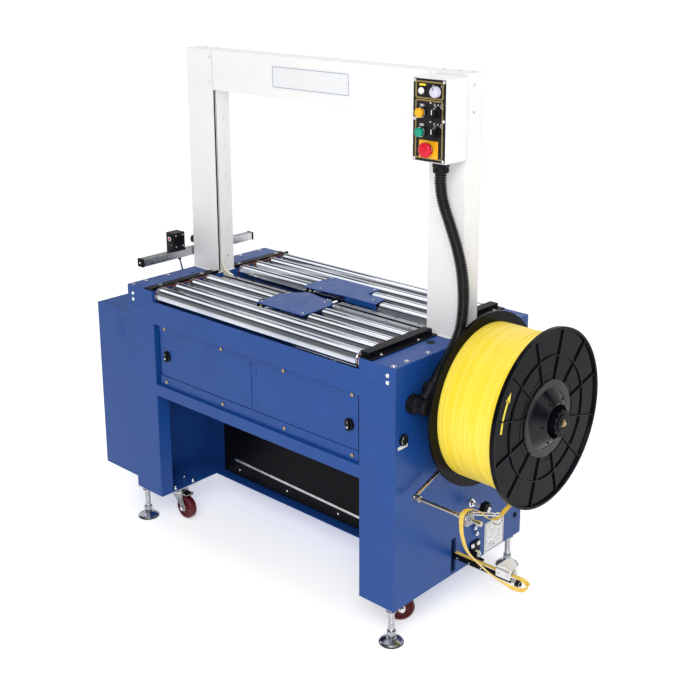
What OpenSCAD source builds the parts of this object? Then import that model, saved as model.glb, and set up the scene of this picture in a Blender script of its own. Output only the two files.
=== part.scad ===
// Strapping machine: floor-standing roller-table machine that loops plastic strap round a parcel.
// Machine axes: X runs along the rollers towards the strap reel, Y from the operator's side to the back, Z up.
// The row origin is at floor level under the middle of the object's outline.

/* [Body] */
// Half width of the cabinet body along X
body_hx = 543; // [543:1:545]
// Front face of the body (Y)
body_y0 = -302; // [-303:1:-301]
// Rear face of the body (Y)
body_y1 = 280; // [280:1:282]
// Underside of the body above the floor
body_z0 = 107; // [107:0.1:107.2]
// Height of the seam under the table caps
seam_z = 730; // [730:1:731]
// Height of the cap tops
cap_z = 790; // [789:1:790]
// Inner face of each leg (half distance)
leg_x = 422; // [421.8:0.1:422.2]
// Sheet thickness of the body shells
sheet = 3; // [2.5:0.5:3]

/* [Rollers] */
// Roller radius
roller_r = 25; // [24.5:0.1:25]
// Height of the roller axes
roller_z = 774; // [773:1:774]
// Half length of a roller tube
roller_hx = 415; // [414:0.5:415]
// Roller shaft radius
shaft_r = 5; // [4.5:0.1:5]
// Wall of the roller tubes
roller_wall = 1.6; // [1.2:0.1:2]

/* [Arch] */
// Inner half width of the strapping arch
arch_ix = 425; // [424:1:426]
// Half depth of the arch
arch_hy = 33; // [32:1:33]
// Underside of the arch beam
arch_z0 = 1373; // [1371:1:1375]
// Top of the arch
arch_z1 = 1495; // [1490:1:1500]

/* [Reel] */
// Height of the reel axis
reel_z = 636; // [634:1:638]
// Radius of the reel flanges
flange_r = 240; // [230:1:240]
// Outer radius of the strap coil
coil_r = 213; // [190:1:215]
// Inner face plane of the inner flange
reel_x0 = 600; // [600:1:602]
// Outer plane of the outer flange
reel_x1 = 800; // [798:1:800]

/* [Ground contact] */
// Levelling foot pad radius
foot_r = 33; // [30:0.5:33]
// Levelling foot stem radius
stem_r = 8; // [7.5:0.1:8]
// Caster wheel radius
wheel_r = 37.5; // [36:0.5:37.5]
// Caster trail
trail = 32; // [28:1:32]

/* [Hidden] */
$fn = 64;
fit = 0.05;      // radial running clearance
gap = 0.2;       // between separate plates of one weldment
cab_x = 707;     // outer face of the electrical cabinet
tip_x = 850;     // outer end of the reel shaft screw
foot_x = 521;
foot_ys = [-283, 252];
ox = -(tip_x - cab_x - 2.5) / 2;
oy = -((foot_ys[0] - foot_r) + (foot_ys[1] + foot_r)) / 2;
roller_ys = [-272, -210, -148, -86, 64, 126, 188, 250];
// end of the left tube and start of the right tube of the split rollers
split = [[0,0],[0,0],[-103,103],[-101,98],[-108,184],[-104,101],[0,0],[0,0]];
ix = body_hx - sheet;
iy0 = body_y0 + sheet;
iy1 = body_y1 - sheet;
box_x0 = 441; box_x1 = 547; box_z0 = 1278; box_z1 = 1488; box_y0 = -122; box_y1 = -37;
face_y = -124;
pivot_b = [565, 15, 527];
bend_b = [565, -248, 429];
pivot_d = [445, -46, 166];
reel_pin_r = 12.5;
caster_c = [[-449,-207],[449,-207],[-449,176],[449,176]];
caster_a = [0, 50, 15, 110];
c_blue = [0.16,0.27,0.55]; c_white = [0.93,0.92,0.90]; c_black = [0.07,0.07,0.08]; c_steel = [0.72,0.74,0.76];
c_yellow = [0.98,0.82,0.15]; c_red = [0.75,0.06,0.08]; c_green = [0.05,0.45,0.28]; c_zinc = [0.6,0.62,0.63];

// a module's own frame placed in the row frame
module at() translate([ox, oy, 0]) children();
module bx(x0, x1, y0, y1, z0, z1) translate([x0, y0, z0]) cube([x1 - x0, y1 - y0, z1 - z0]);
module cx(x0, x1, y, z, r) translate([x0, y, z]) rotate([0, 90, 0]) cylinder(h = x1 - x0, r = r);
module cy(y0, y1, x, z, r) translate([x, y0, z]) rotate([-90, 0, 0]) cylinder(h = y1 - y0, r = r);
module cz(z0, z1, x, y, r) translate([x, y, z0]) cylinder(h = z1 - z0, r = r);
// screw head with a hex socket, axis along +Z, seated at z = 0
module head(r, h) difference() {
  cylinder(h = h, r = r);
  translate([0, 0, h * 0.45]) cylinder(h = h, r = r * 0.45, $fn = 6);
}

/* ---------- weldment ---------- */
module main_frame() at() color(c_blue) {
  // base plates
  difference() {
    bx(-ix + gap, ix - gap, -74, iy1 - gap, body_z0, body_z0 + 3);
    for (s = [-1, 1]) cz(0, 200, s * foot_x, foot_ys[1], stem_r + fit);
  }
  for (s = [-1, 1]) difference() {
    bx(min(s * 420, s * (ix - gap)), max(s * 420, s * (ix - gap)), iy0 + gap, -74 - gap, body_z0, body_z0 + 3);
    cz(0, 200, s * foot_x, foot_ys[0], stem_r + fit);
  }
  // bulkhead behind the strap pool box
  bx(-ix + gap, ix - gap, 5, 8, body_z0 + 3 + gap, 575);
  // lower rail, an inverted channel
  difference() {
    bx(-leg_x + gap, leg_x - gap, body_y0, -262, 454, 490);
    bx(-600, 600, body_y0 + sheet, -262 - sheet, 440, 490 - sheet);
  }
  // front rail under the rollers, with its return ledge
  union() {
    bx(-leg_x + gap, leg_x - gap, body_y0, iy0, 687, 757.5);
    bx(-leg_x + gap, leg_x - gap, body_y0, -288.5, 687, 689.5);
  }
  // strips and mullion round the access doors
  bx(-410, 410, -292, -289, 667.6, 686.8);
  bx(-410, 410, -292, -289, 490.2, 522.4);
  bx(-14, 14, -286, -283, 493, 686.8);
  bx(-leg_x + gap, leg_x - gap, -288.8, -262, 490.2, 492.2);
  // cross bars that carry the centre plates
  for (y = [-117, 95]) bx(-416.6, 416.6, y - 10, y + 10, 700, 720);
  // roller bearer plates
  for (s = [-1, 1]) difference() {
    bx(min(s * 417, s * 420), max(s * 417, s * 420), iy0 + gap, iy1 - gap, 700, 786);
    for (y = roller_ys) cx(-500, 500, y, roller_z, shaft_r + fit);
  }
}

// plates of one leg: front face, return flange, outer skin and rear face
module leg_plates() {
  bx(leg_x, body_hx, body_y0, iy0, body_z0, seam_z);
  bx(leg_x, leg_x + sheet, iy0 + gap, -256, body_z0 + 3 + gap, seam_z);
  bx(ix, body_hx, iy0 + gap, iy1 - gap, body_z0, seam_z);
  bx(leg_x, body_hx, iy1, body_y1, body_z0, seam_z);
}
module body_shells() at() color(c_blue) {
  difference() {
    leg_plates();
    // slot for the dancer arm, strap inlet, cable and stud holes
    bx(body_hx - 10, body_hx + 10, -53, -39, 119, 215);
    cx(body_hx - 10, body_hx + 10, -204, 469, 3);
    cx(body_hx - 10, body_hx + 10, 251, 173, 6);
    cx(body_hx - 10, body_hx + 10, 50, 138, 4);
    cx(body_hx - 10, body_hx + 10, -237, 679, 14);
    cx(body_hx - 10, body_hx + 10, -270, 590, 9.3);
  }
  mirror([1, 0, 0]) leg_plates();
  // rear panel with cooling slots
  difference() {
    bx(-leg_x + gap, leg_x - gap, iy1, body_y1, body_z0 + 3.2, 757);
    for (z = [180:22:312]) for (s = [-1, 1]) bx(s * 250 - 70, s * 250 + 70, iy1 - 5, body_y1 + 5, z, z + 6);
  }
}
// plates of one folded cap
module cap_top() bx(leg_x, body_hx, body_y0, body_y1, cap_z - 3, cap_z);
module cap_skirt() {
  z1 = cap_z - 3 - gap; z0 = seam_z + 0.6;
  bx(leg_x, body_hx, body_y0, body_y0 + 2, z0, z1);
  bx(leg_x, body_hx, body_y1 - 2, body_y1, z0, z1);
  bx(leg_x, leg_x + 2, body_y0 + 2 + gap, body_y1 - 2 - gap, z0, z1);
  bx(body_hx - 2, body_hx, body_y0 + 2 + gap, body_y1 - 2 - gap, z0, z1);
}
module table_caps() at() color(c_blue) {
  difference() { cap_top(); cz(cap_z - 20, cap_z + 10, 484, -90, 12.5); }
  cap_skirt();
  difference() {
    mirror([1, 0, 0]) cap_top();
    bx(-500, -484, -89, -83, cap_z - 20, cap_z + 10);
  }
  mirror([1, 0, 0]) cap_skirt();
}
module guide_rails() at() color(c_black) {
  // right rail, front half: flat foot and a raised edge with a scallop for each roller
  difference() {
    union() {
      bx(417.5, 464, -299, -33.5, cap_z, cap_z + 3);
      bx(417.5, 445, -290, -35, cap_z, cap_z + 15);
    }
    for (y = [-272, -210, -148, -86]) translate([417, y, roller_z]) rotate([0, 90, 0]) cylinder(h = 8, r = roller_r + 0.8);
  }
  difference() {
    union() {
      bx(417.5, 464, 33.5, 277, cap_z, cap_z + 3);
      bx(417.5, 445, 35, 270, cap_z, cap_z + 15);
    }
    for (y = [64, 126, 188, 250]) translate([417, y, roller_z]) rotate([0, 90, 0]) cylinder(h = 8, r = roller_r + 0.8);
  }
  // left rail: a flat angle with a short upstand
  for (r = [[-299, -33.5], [33.5, 277]]) union() {
    bx(-465, -423, r[0], r[1], cap_z, cap_z + 3);
    bx(-429, -423, r[0], r[1], cap_z, cap_z + 9);
  }
}
module centre_plates() at() color(c_blue) {
  difference() {
    union() {
      translate([0, 0, 796.5]) linear_extrude(height = 3) polygon([[-90,-179],[-96,-112],[-96,-68],[-68,-34],[-46,-9],[78,-34],[89,-59],[94,-115],[96,-179]]);
      // skirt under the inner edge
      bx(-66, 76, -37, -34, 775, 797);
    }
  }
  union() {
    translate([0, 0, 796.5]) linear_extrude(height = 3) polygon([[-103,24],[-102,101],[-98,155],[95,155],[96,94],[168,92],[179,36],[69,36],[-59,24]]);
    bx(168, 179, 36, 39, 770, 797);
    bx(60, 168, 36, 39, 782, 797);
  }
  // posts from the cross bars
  for (p = [[-70,-117],[70,-117],[-70,95],[70,95]]) cz(720, 796.3, p[0], p[1], 8);
}
module strap_track() at() {
  color([0.62,0.62,0.66]) {
    // table channels that carry the strap below the roller tops
    difference() { bx(-406, -97, -45, -3, 770, 781); bx(-410, -97 + 1, -30, -18, 777, 790); }
    difference() { bx(55, 400, -25, 30, 770, 781); bx(50, 410, -4, 8, 777, 790); }
  }
  // curved entry shoe at the foot of the left column
  color([0.86,0.84,0.76]) difference() {
    union() { bx(-416.5, -380, -20, -10, 781.2, 830); bx(-424.3, -416.5, -20, -10, 790.3, 830); }
    translate([-380, 0, 832]) rotate([90, 0, 0]) cylinder(h = 200, r = 42, center = true);
  }
  // black track lining seen through the arch slot
  color(c_black) {
    for (s = [-1, 1]) bx(min(s * 429, s * 445), max(s * 429, s * 445), -24, 20, 792, 1372);
    bx(-424, 424, -24, 20, 1377, 1392);
  }
}
module belt(ya, yb, x) translate([x - 1.8, 0, roller_z]) rotate([90, 0, 90]) linear_extrude(height = 3.6) difference() {
  union() { for (y = [ya, yb]) translate([y, 0]) circle(r = roller_r - 0.4); translate([ya, -(roller_r - 0.4)]) square([yb - ya, 2 * (roller_r - 0.4)]); }
  union() { for (y = [ya, yb]) translate([y, 0]) circle(r = roller_r - 3.6); translate([ya, -(roller_r - 3.6)]) square([yb - ya, 2 * (roller_r - 3.6)]); }
}
// groove centres near both roller ends
groove = [405.5, 411];
module table_belts() at() color([0.62,0.16,0.08]) for (s = [-1, 1]) {
  for (k = [[0, 1, 1], [1, 2, 0], [2, 3, 1], [4, 5, 1], [5, 6, 0], [6, 7, 1]]) belt(roller_ys[k[0]], roller_ys[k[1]], s * groove[k[2]]);
}
module strapping_head() at() color([0.45,0.46,0.48]) {
  // side plates and sealing block
  bx(-60, -50, -31, 20, 600, 774);
  bx(40, 50, -31, 20, 600, 774);
  bx(-49.8, 39.8, -25, 16, 640, 772);
  // anvil and gripper jaws under the centre gap
  bx(-44, -16, -22, 14, 772.2, 786);
  bx(-14, 10, -20, 12, 772.2, 784);
  bx(12, 36, -22, 14, 772.2, 786);
  // feed wheels and drive motor on their base
  cy(-31, 3, 75, 640, 24);
  cy(-31, 3, -85, 640, 24);
  bx(-150, 150, -31, 4.5, 580, 599.8);
  cx(-245, -111, -14, 645, 18.5);
  bx(-240, -151, -31, 4.5, 600, 626);
}
module pool_box() at() color(c_black) {
  // shallow bin where the returned strap folds itself
  bx(-404, 404, -50, -47, 119, 450);
  bx(-404, 404, 1.8, 4.8, 119, 450);
  bx(-404, 404, -46.8, 1.6, 119, 122);
  for (s = [-1, 1]) bx(min(s * 401, s * 404), max(s * 401, s * 404), -46.8, 1.6, 122.2, 450);
  color(c_steel) translate([0, -52.2, 163]) rotate([0, 1.4, 0]) bx(-352, 352, 0, 2, -4, 4);
}
module arch_frame() at() color(c_white) {
  // columns: folded C sections whose inner face is open over the strap track
  for (s = [0, 1]) mirror([s, 0, 0]) difference() {
    bx(arch_ix, body_hx, -arch_hy, arch_hy, cap_z, arch_z1);
    bx(arch_ix + 2, body_hx - 2, -arch_hy + 2, arch_hy - 2, cap_z - 1, arch_z1 - 2);
    bx(arch_ix - 1, arch_ix + 3, -29, -23.5, cap_z - 1, arch_z0 - 1);
  }
  // beam
  difference() {
    bx(-arch_ix + gap, arch_ix - gap, -arch_hy, arch_hy, arch_z0, arch_z1);
    bx(-arch_ix - 1, arch_ix + 1, -arch_hy + 2, arch_hy - 2, arch_z0 + 2, arch_z1 - 2);
    bx(-arch_ix + 3, arch_ix - 3, -29, -23.5, arch_z0 - 1, arch_z0 + 3);
  }
}
module sensor_bar() at() {
  color([0.75,0.76,0.78]) bx(-572, -548, -231, 227, 828, 852);
  color(c_black) {
    for (y = [[-237, -231], [227, 233]]) bx(-573, -547, y[0], y[1], 827, 853);
    // post on the side of the body, and its clamp
    bx(-547.8, body_hx * -1, -25, 15, 700, 868);
    cx(-566, -547.8, -5, 872, 0.1 + 5);
    bx(-552, body_hx * -1, -84, -44, 735, 775);
    cx(-566, -552, -64, 760, 9);
    translate([-560, -64, 760]) rotate([14, 0, 0]) cylinder(h = 62, r = 3.2);
  }
}
// photocell head on a saddle that slides along the bar
module sensor_head() at() color(c_black) {
  union() {
    bx(-583, -542, -112, -68, 853.4, 860);
    bx(-583, -574, -112, -68, 832, 860);
    cx(-592, -583, -90, 842, 6);
  }
  bx(-583, -545, -112, -68, 860.2, 912);
}

/* ---------- control box ---------- */
module control_box() at() color(c_white) {
  difference() {
    bx(box_x0, box_x1, box_y0, box_y1, box_z0, box_z1);
    bx(box_x0 + 2, box_x1 - 2, box_y0 - 1, box_y1 - 2, box_z0 + 2, box_z1 - 2);
    cz(box_z0 - 5, box_z0 + 10, 500, -80, 10);
  }
  for (z = [1310, 1455]) cy(box_y1, -arch_hy, 494, z, 9);
}
// control positions on the face plate: [x, z, hole radius]
p_lamp = [471, 1456]; p_power = [520, 1457]; p_yellow = [471, 1402]; p_sel1 = [522, 1404];
p_green = [471, 1353]; p_sel2 = [522, 1356]; p_stop = [494, 1311];
module control_panel() at() {
  color(c_black) difference() {
    union() {
      bx(box_x0 + 2.5, box_x1 - 2.5, face_y, box_y0, box_z0 + 3, box_z1 - 3);
      for (p = [p_power, p_yellow, p_green, p_sel1, p_sel2]) cy(-129, face_y, p[0], p[1], 12.5);
      cy(-127, face_y, p_stop[0], p_stop[1], 14);
    }
    for (p = [p_power, p_yellow, p_green, p_sel1, p_sel2]) cy(-140, -110, p[0], p[1], 9.3);
    cy(-140, -110, p_stop[0], p_stop[1], 8.3);
  }
  color(c_white) { cy(-129, face_y, p_lamp[0], p_lamp[1], 8); }
}
module turn_knob(p, r, h, bar) at() difference() {
  union() {
    cy(-129.3 - h, -115, p[0], p[1], 9);
    cy(-129.3 - h, -129.3, p[0], p[1], r);
    if (bar) bx(p[0] - 4, p[0] + 4, -129.3 - h - 17, -129.3, p[1] - r, p[1] + r);
  }
  translate([p[0], -100 - 16, p[1]]) rotate([-90, 0, 0]) cylinder(h = 10, r = 3);
}
module power_knob() color([0.86,0.84,0.92]) turn_knob(p_power, 14, 15, false);
module selector_upper() color(c_black) turn_knob(p_sel1, 11.5, 4, true);
module selector_lower() color(c_black) turn_knob(p_sel2, 11.5, 4, true);
module push(p) at() union() {
  cy(-136, -114, p[0], p[1], 9);
  cy(-139, -133.5, p[0], p[1], 11.6);
}
module yellow_button() color(c_yellow) push(p_yellow);
module green_button() color(c_green) push(p_green);
module estop_button() at() color(c_red) {
  union() {
    cy(-136, -110, p_stop[0], p_stop[1], 8);
    translate([p_stop[0], -134, p_stop[1]]) rotate([90, 0, 0]) rotate_extrude() polygon([[0,0],[17,0],[19,2],[19,7],[16,10.5],[10,12.5],[0,13]]);
  }
}
module side_button() at() color(c_black) cx(538, 553, -270, 590, 9);

/* ---------- conduit ---------- */
// sweep helpers
function sub(a, b) = a - b;
function unit(v) = v / norm(v);
function crom(p0, p1, p2, p3, t) = 0.5 * ((2 * p1) + (p2 - p0) * t + (2 * p0 - 5 * p1 + 4 * p2 - p3) * t * t + (3 * p1 - p0 - 3 * p2 + p3) * t * t * t);
function spline(P, n) = [for (i = [0 : len(P) - 2]) for (k = [0 : n - 1]) crom(P[max(i - 1, 0)], P[i], P[i + 1], P[min(i + 2, len(P) - 1)], k / n), P[len(P) - 1]];
function tang(Q, i) = unit(Q[min(i + 1, len(Q) - 1)] - Q[max(i - 1, 0)]);
module tube(Q, r, sides) {
  n = len(Q);
  pts = [for (i = [0 : n - 1]) let (t = tang(Q, i), u = unit(cross(t, [1, 0.2, 0])), v = cross(t, u)) for (k = [0 : sides - 1]) let (a = 360 * k / sides) Q[i] + r * (cos(a) * u + sin(a) * v)];
  faces = concat(
    [[for (k = [0 : sides - 1]) k]],
    [for (i = [0 : n - 2]) for (k = [0 : sides - 1]) let (a = i * sides + k, b = i * sides + (k + 1) % sides) each [[a, a + sides, b + sides], [a, b + sides, b]]],
    [[for (k = [sides - 1 : -1 : 0]) (n - 1) * sides + k]]);
  polyhedron(points = pts, faces = faces, convexity = 6);
}
// strap band: each point carries the direction of the band's width
module band(Q, W, w, th) {
  n = len(Q);
  pts = [for (i = [0 : n - 1]) let (t = tang(Q, i), u0 = W[i], u = unit(u0 - (u0 * t) * t), v = cross(t, u)) each [Q[i] + u * w / 2 + v * th / 2, Q[i] - u * w / 2 + v * th / 2, Q[i] - u * w / 2 - v * th / 2, Q[i] + u * w / 2 - v * th / 2]];
  faces = concat([[0, 1, 2, 3]],
    [for (i = [0 : n - 2]) for (k = [0 : 3]) let (a = i * 4 + k, b = i * 4 + (k + 1) % 4) each [[a, a + 4, b + 4], [a, b + 4, b]]],
    [[n * 4 - 1, n * 4 - 2, n * 4 - 3, n * 4 - 4]]);
  polyhedron(points = pts, faces = faces, convexity = 8);
}
conduit_route = [[500,-80,1249],[500,-80,1215],[508,-78,1170],[530,-74,1110],[553,-72,1050],[567,-68,985],[571,-66,910],[572,-80,840],[572,-120,785],[572,-165,745],[572,-189,722]];
module conduit() at() color(c_black) tube(spline(conduit_route, 4), 16, 12);
module conduit_fittings() at() color([0.05,0.05,0.05]) {
  // gland under the box
  cz(1250.4, 1278, 500, -80, 19);
  // elbow on the side of the body
  cx(body_hx, 549, -237, 679, 26);
  cx(549, 592, -237, 679, 20);
  translate([572, -189, 722]) rotate([-48, 0, 0]) translate([0, 0, -0.2]) rotate([180, 0, 0]) translate([0, 0, 1.6]) union() {
    cylinder(h = 22, r = 21);
    cylinder(h = 44, r = 17);
  }
}

/* ---------- reel ---------- */
module reel_shaft() at() color(c_steel) {
  translate([body_hx, 0, reel_z]) rotate([0, 90, 0]) cylinder(h = 8, r = 45);
  cx(body_hx + 8 + gap, 598, 0, reel_z, 20);
  cx(598 + gap, 836, 0, reel_z, reel_pin_r);
  color([0.8,0.65,0.3]) union() { cx(836.2, 846, 0, reel_z, 9); cx(846, tip_x, 0, reel_z, 5); }
  // brake pivot boss, pin and washer
  union() {
    cx(body_hx, 555, pivot_b[1], pivot_b[2], 16);
    cx(body_hx, 575, pivot_b[1], pivot_b[2], 6);
    cx(574.4, 578, pivot_b[1], pivot_b[2], 10);
  }
}
module reel_flange_inner() at() color(c_black) difference() {
  union() {
    cx(reel_x0, reel_x0 + 6, 0, reel_z, flange_r);
    difference() { cx(reel_x0 + 5, reel_x1 - 12.4, 0, reel_z, 98); cx(reel_x0 + 6, reel_x1, 0, reel_z, 92); }
    cx(reel_x0 + 5, reel_x1 - 12.4, 0, reel_z, 24);
  }
  cx(500, 900, 0, reel_z, reel_pin_r + fit);
}
module reel_flange_outer() at() color(c_black) difference() {
  union() {
    cx(reel_x1 - 12, reel_x1 - 6, 0, reel_z, flange_r);
    // rim, ring and radial ribs on the outer face
    difference() { cx(reel_x1 - 7, reel_x1, 0, reel_z, flange_r); cx(reel_x1 - 8, reel_x1 + 1, 0, reel_z, flange_r - 7); }
    difference() { cx(reel_x1 - 7, reel_x1 - 2, 0, reel_z, 168); cx(reel_x1 - 8, reel_x1 + 1, 0, reel_z, 164); }
    for (a = [0:30:330]) translate([reel_x1 - 7, 0, reel_z]) rotate([a + 15, 0, 0]) bx(0, 5.5, 70, flange_r - 3, -1.5, 1.5);
    // raised hub cone
    translate([reel_x1 - 7, 0, reel_z]) rotate([0, 90, 0]) cylinder(h = 33, r1 = 90, r2 = 50);
  }
  // seat of the hub nut
  cx(reel_x1 + 12, 900, 0, reel_z, 44);
  cx(500, 900, 0, reel_z, reel_pin_r + fit);
}
module strap_coil() at() color(c_yellow) difference() {
  cx(reel_x0 + 6.1, reel_x1 - 12.2, 0, reel_z, coil_r);
  cx(500, 900, 0, reel_z, 98.1);
}
module reel_nut() at() color(c_black) difference() {
  union() {
    translate([reel_x1 + 12.4, 0, reel_z]) rotate([90, 0, 90]) linear_extrude(height = 29) union() {
      circle(r = 32);
      for (a = [0:30:330]) rotate(a) translate([32.5, 0]) circle(r = 4.5, $fn = 24);
    }
    cx(reel_x1 + 40, reel_x1 + 45, 0, reel_z, 24);
  }
  cx(500, 900, 0, reel_z, reel_pin_r + fit);
}

/* ---------- strap guidance on the side ---------- */
arm_len = norm(bend_b - pivot_b);
arm_ang = atan2(-(bend_b[2] - pivot_b[2]), -(bend_b[1] - pivot_b[1]));
module brake_arm() at() color(c_zinc) {
  difference() {
    union() {
      cx(558, 574, pivot_b[1], pivot_b[2], 13);
      translate([pivot_b[0], pivot_b[1], pivot_b[2]]) rotate([90 + atan2(98, 263), 0, 0]) cylinder(h = arm_len, r = 5);
      translate(bend_b) sphere(r = 5.6);
    }
    cx(500, 600, pivot_b[1], pivot_b[2], 6 + fit);
  }
  union() {
    cx(571, 778, bend_b[1], bend_b[2], 5);
    cx(571, 584, bend_b[1], bend_b[2], 8.5);
    cx(708, 719, bend_b[1], bend_b[2], 8);
    cx(766, 778, bend_b[1], bend_b[2], 7);
    bx(719, 745, bend_b[1] - 14, bend_b[1] + 14, bend_b[2] - 14, bend_b[2] + 14);
  }
  // wire eye that the strap runs through
  for (x = [721, 743]) translate([x, bend_b[1] + 14.2, bend_b[2] + 8]) rotate([-90 - 23, 0, 0]) cylinder(h = 128, r = 1.6);
  translate([732, -112, 373]) rotate([68, 0, 0]) rotate_extrude() translate([15, 0]) circle(r = 1.6, $fn = 24);
}
module dancer_arm() at() {
  color(c_black) difference() {
    union() {
      bx(436, 742, -50, -42, 160, 172);
      cy(-52, -40, pivot_d[0], pivot_d[2], 12);
    }
    cy(-80, 0, pivot_d[0], pivot_d[2], 5 + fit);
  }
  // curved white strap guide and its end bolt
  color(c_white) difference() {
    bx(696, 740, -60, -20, 172.2, 200);
    translate([718, -40, 186.5]) rotate([0, 90, 0]) cylinder(h = 60, r = 12, center = true);
    bx(690, 746, -52, -28, 170, 186.5);
  }
  color(c_steel) union() { cx(742.2, 752, -46, 166, 9); cx(752, 766, -46, 166, 6); }
}
module tension_knob() at() color(c_black) difference() {
  translate([582, 33, 296]) rotate([90, 0, 90]) linear_extrude(height = 16) union() {
    circle(r = 13);
    for (a = [0:60:300]) rotate(a) translate([14, 0]) circle(r = 5.5, $fn = 24);
  }
  cx(500, 700, 33, 296, 4 + fit);
}
module side_fittings() at() {
  color(c_black) {
    // strap inlet bracket with its two bolts
    difference() {
      union() { bx(body_hx, 549, 30, 70, 108, 170); bx(549, 566, 30, 36, 108, 150); bx(549, 566, 44, 70, 108, 114); }
      cx(500, 600, 50, 138, 4);
    }
    // ring round the side push button
    difference() { cx(body_hx, 549, -270, 590, 15); cx(500, 600, -270, 590, 9.3); }
    // dancer arm pivot bracket inside the leg, and its stop
    bx(430, 460, -60, -54, 110.2, 182);
    bx(430, 460, -38, -32, 110.2, 182);
    bx(470, 482, -52, -40, 110.2, 159.7);
  }
  color(c_steel) {
    cy(-53.8, -38.2, pivot_d[0], pivot_d[2], 5);
    // stud of the tension knob with its lock nut
    union() { cx(body_hx, 604, 33, 296, 4); translate([body_hx, 33, 296]) rotate([0, 90, 0]) cylinder(h = 8, r = 9, $fn = 6); }
    for (p = [[47, 215], [55, 194]]) translate([body_hx, p[0], p[1]]) rotate([0, 90, 0]) cylinder(h = 7, r = 7, $fn = 6);
  }
  // blank instruction plate and tag
  color(c_white) { bx(body_hx, 544, 100, 193, 109, 203); bx(body_hx, 544, -290, -252, 566, 574.5); }
}
strap_pts = [[752,30,423.6],[750,0,421.3],[746,-40,414],[740,-80,396],[733,-112,377],[731,-150,388],[731,-195,428],[731,-238,449],[731,-262,446],[731,-268,425],[731,-262,385],[731,-240,335],[733,-200,288],[738,-150,235],[748,-95,185],[762,-64,160],[773,-40,150],[774,-22,154],[768,-26,166],[747,-37,177],[716,-40,177.4],[660,-40,177.2],[600,-40,176],[566,-40,176.5],[548,-40,176.5]];
strap_w = [[1,0,0],[1,0,0],[1,0,0],[1,0,0],[1,0,0],[1,0,0],[1,0,0],[1,0,0],[1,0,0],[1,0,0],[1,0,0],[1,0,0],[1,0,0],[1,0,0.1],[0.9,0.2,0.5],[0.5,0.3,0.9],[0.1,0.2,1],[0,0,1],[-0.1,0.6,0.7],[0,1,0.1],[0,1,0],[0,1,0],[0,1,0],[0,1,0],[0,1,0]];
module strap_lead() at() color(c_yellow) band(spline(strap_pts, 3), spline(strap_w, 3), 13, 1);

/* ---------- cabinet and doors ---------- */
module cabinet() at() color(c_blue) {
  difference() {
    bx(-cab_x + 3.2, -body_hx, body_y0, 140, 141, 697);
    bx(-cab_x, -body_hx - 2, body_y0 + 2, 138, 143, 695);
  }
  // screwed cover on the outer side
  bx(-cab_x, -cab_x + 3, body_y0, 140, 141, 697);
}
module door(s) difference() {
  union() {
    bx(min(s * 1.2, s * 408), max(s * 1.2, s * 408), -290, -287, 523.4, 666.6);
    cz(523.4, 666.6, s * 2.6, -290, 1.2);
  }
  cy(-300, -280, s * 377, 590, 6 + fit);
}
module left_door() at() color(c_blue) door(-1);
module right_door() at() color(c_blue) door(1);
module latch(s) at() color(c_black) union() {
  cy(-294, -290.3, s * 377, 590, 13);
  bx(s * 377 - 5, s * 377 + 5, -300, -294, 575, 604);
  cy(-294, -284, s * 377, 590, 6);
  bx(s * 377 - 7, s * 377 + 7, -286.6, -284, 583, 606);
}
module left_latch() latch(-1);
module right_latch() latch(1);

/* ---------- fasteners ---------- */
module fasteners() at() color([0.8,0.76,0.66]) {
  // access strips
  for (x = [-381, -123, 134, 389]) for (z = [677, 506]) translate([x, -292, z]) rotate([90, 0, 0]) head(5, 2.5);
  // caps, front and top
  for (s = [-1, 1]) {
    for (z = [766, 747]) translate([s * 517, body_y0, z]) rotate([90, 0, 0]) head(4, 2);
    for (y = [-291, -241, -155, 155, 241]) translate([s * 528, y, cap_z]) head(5, 2.5);
  }
  // guide rails
  for (p = [[452, -251], [450, -100], [452, 240], [450, 100], [-452, -246], [-452, -80], [-452, 246], [-452, 80]]) translate([p[0], p[1], cap_z + 3]) head(4.5, 2.5);
  // arch, front
  for (s = [-1, 1]) for (z = [1473, 1394]) translate([s * 436, -arch_hy, z]) rotate([90, 0, 0]) head(4, 2);
  // arch, top and outer side
  for (s = [-1, 1]) { for (x = [440, 490, 533]) translate([s * x, 4, arch_z1]) head(4, 2); }
  for (z = [1465, 1396]) { translate([body_hx, -7, z]) rotate([0, 90, 0]) head(4, 2); translate([-body_hx, -7, z]) rotate([0, -90, 0]) head(4, 2); }
  // control face
  for (x = [448, 540]) for (z = [1285, 1385, 1481]) translate([x, face_y, z]) rotate([90, 0, 0]) head(2.5, 1.2);
  // caster bolts on top of the base plates
  for (c = caster_c) for (dx = [-21, 21]) for (dy = [-36, 36]) translate([c[0] + dx, c[1] + dy, body_z0 + 3]) union() {
    cylinder(h = 6, r = 7, $fn = 6); cylinder(h = 12, r = 4);
  }
  // cabinet cover
  for (y = [-285, 120]) for (z = [160, 678]) translate([-cab_x, y, z]) rotate([0, -90, 0]) head(5, 0.1 + 2.4);
  // reel shaft flange bolts
  for (a = [45:90:315]) translate([body_hx + 8, 34 * cos(a), reel_z + 34 * sin(a)]) rotate([0, 90, 0]) cylinder(h = 5, r = 6, $fn = 6);
}

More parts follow.
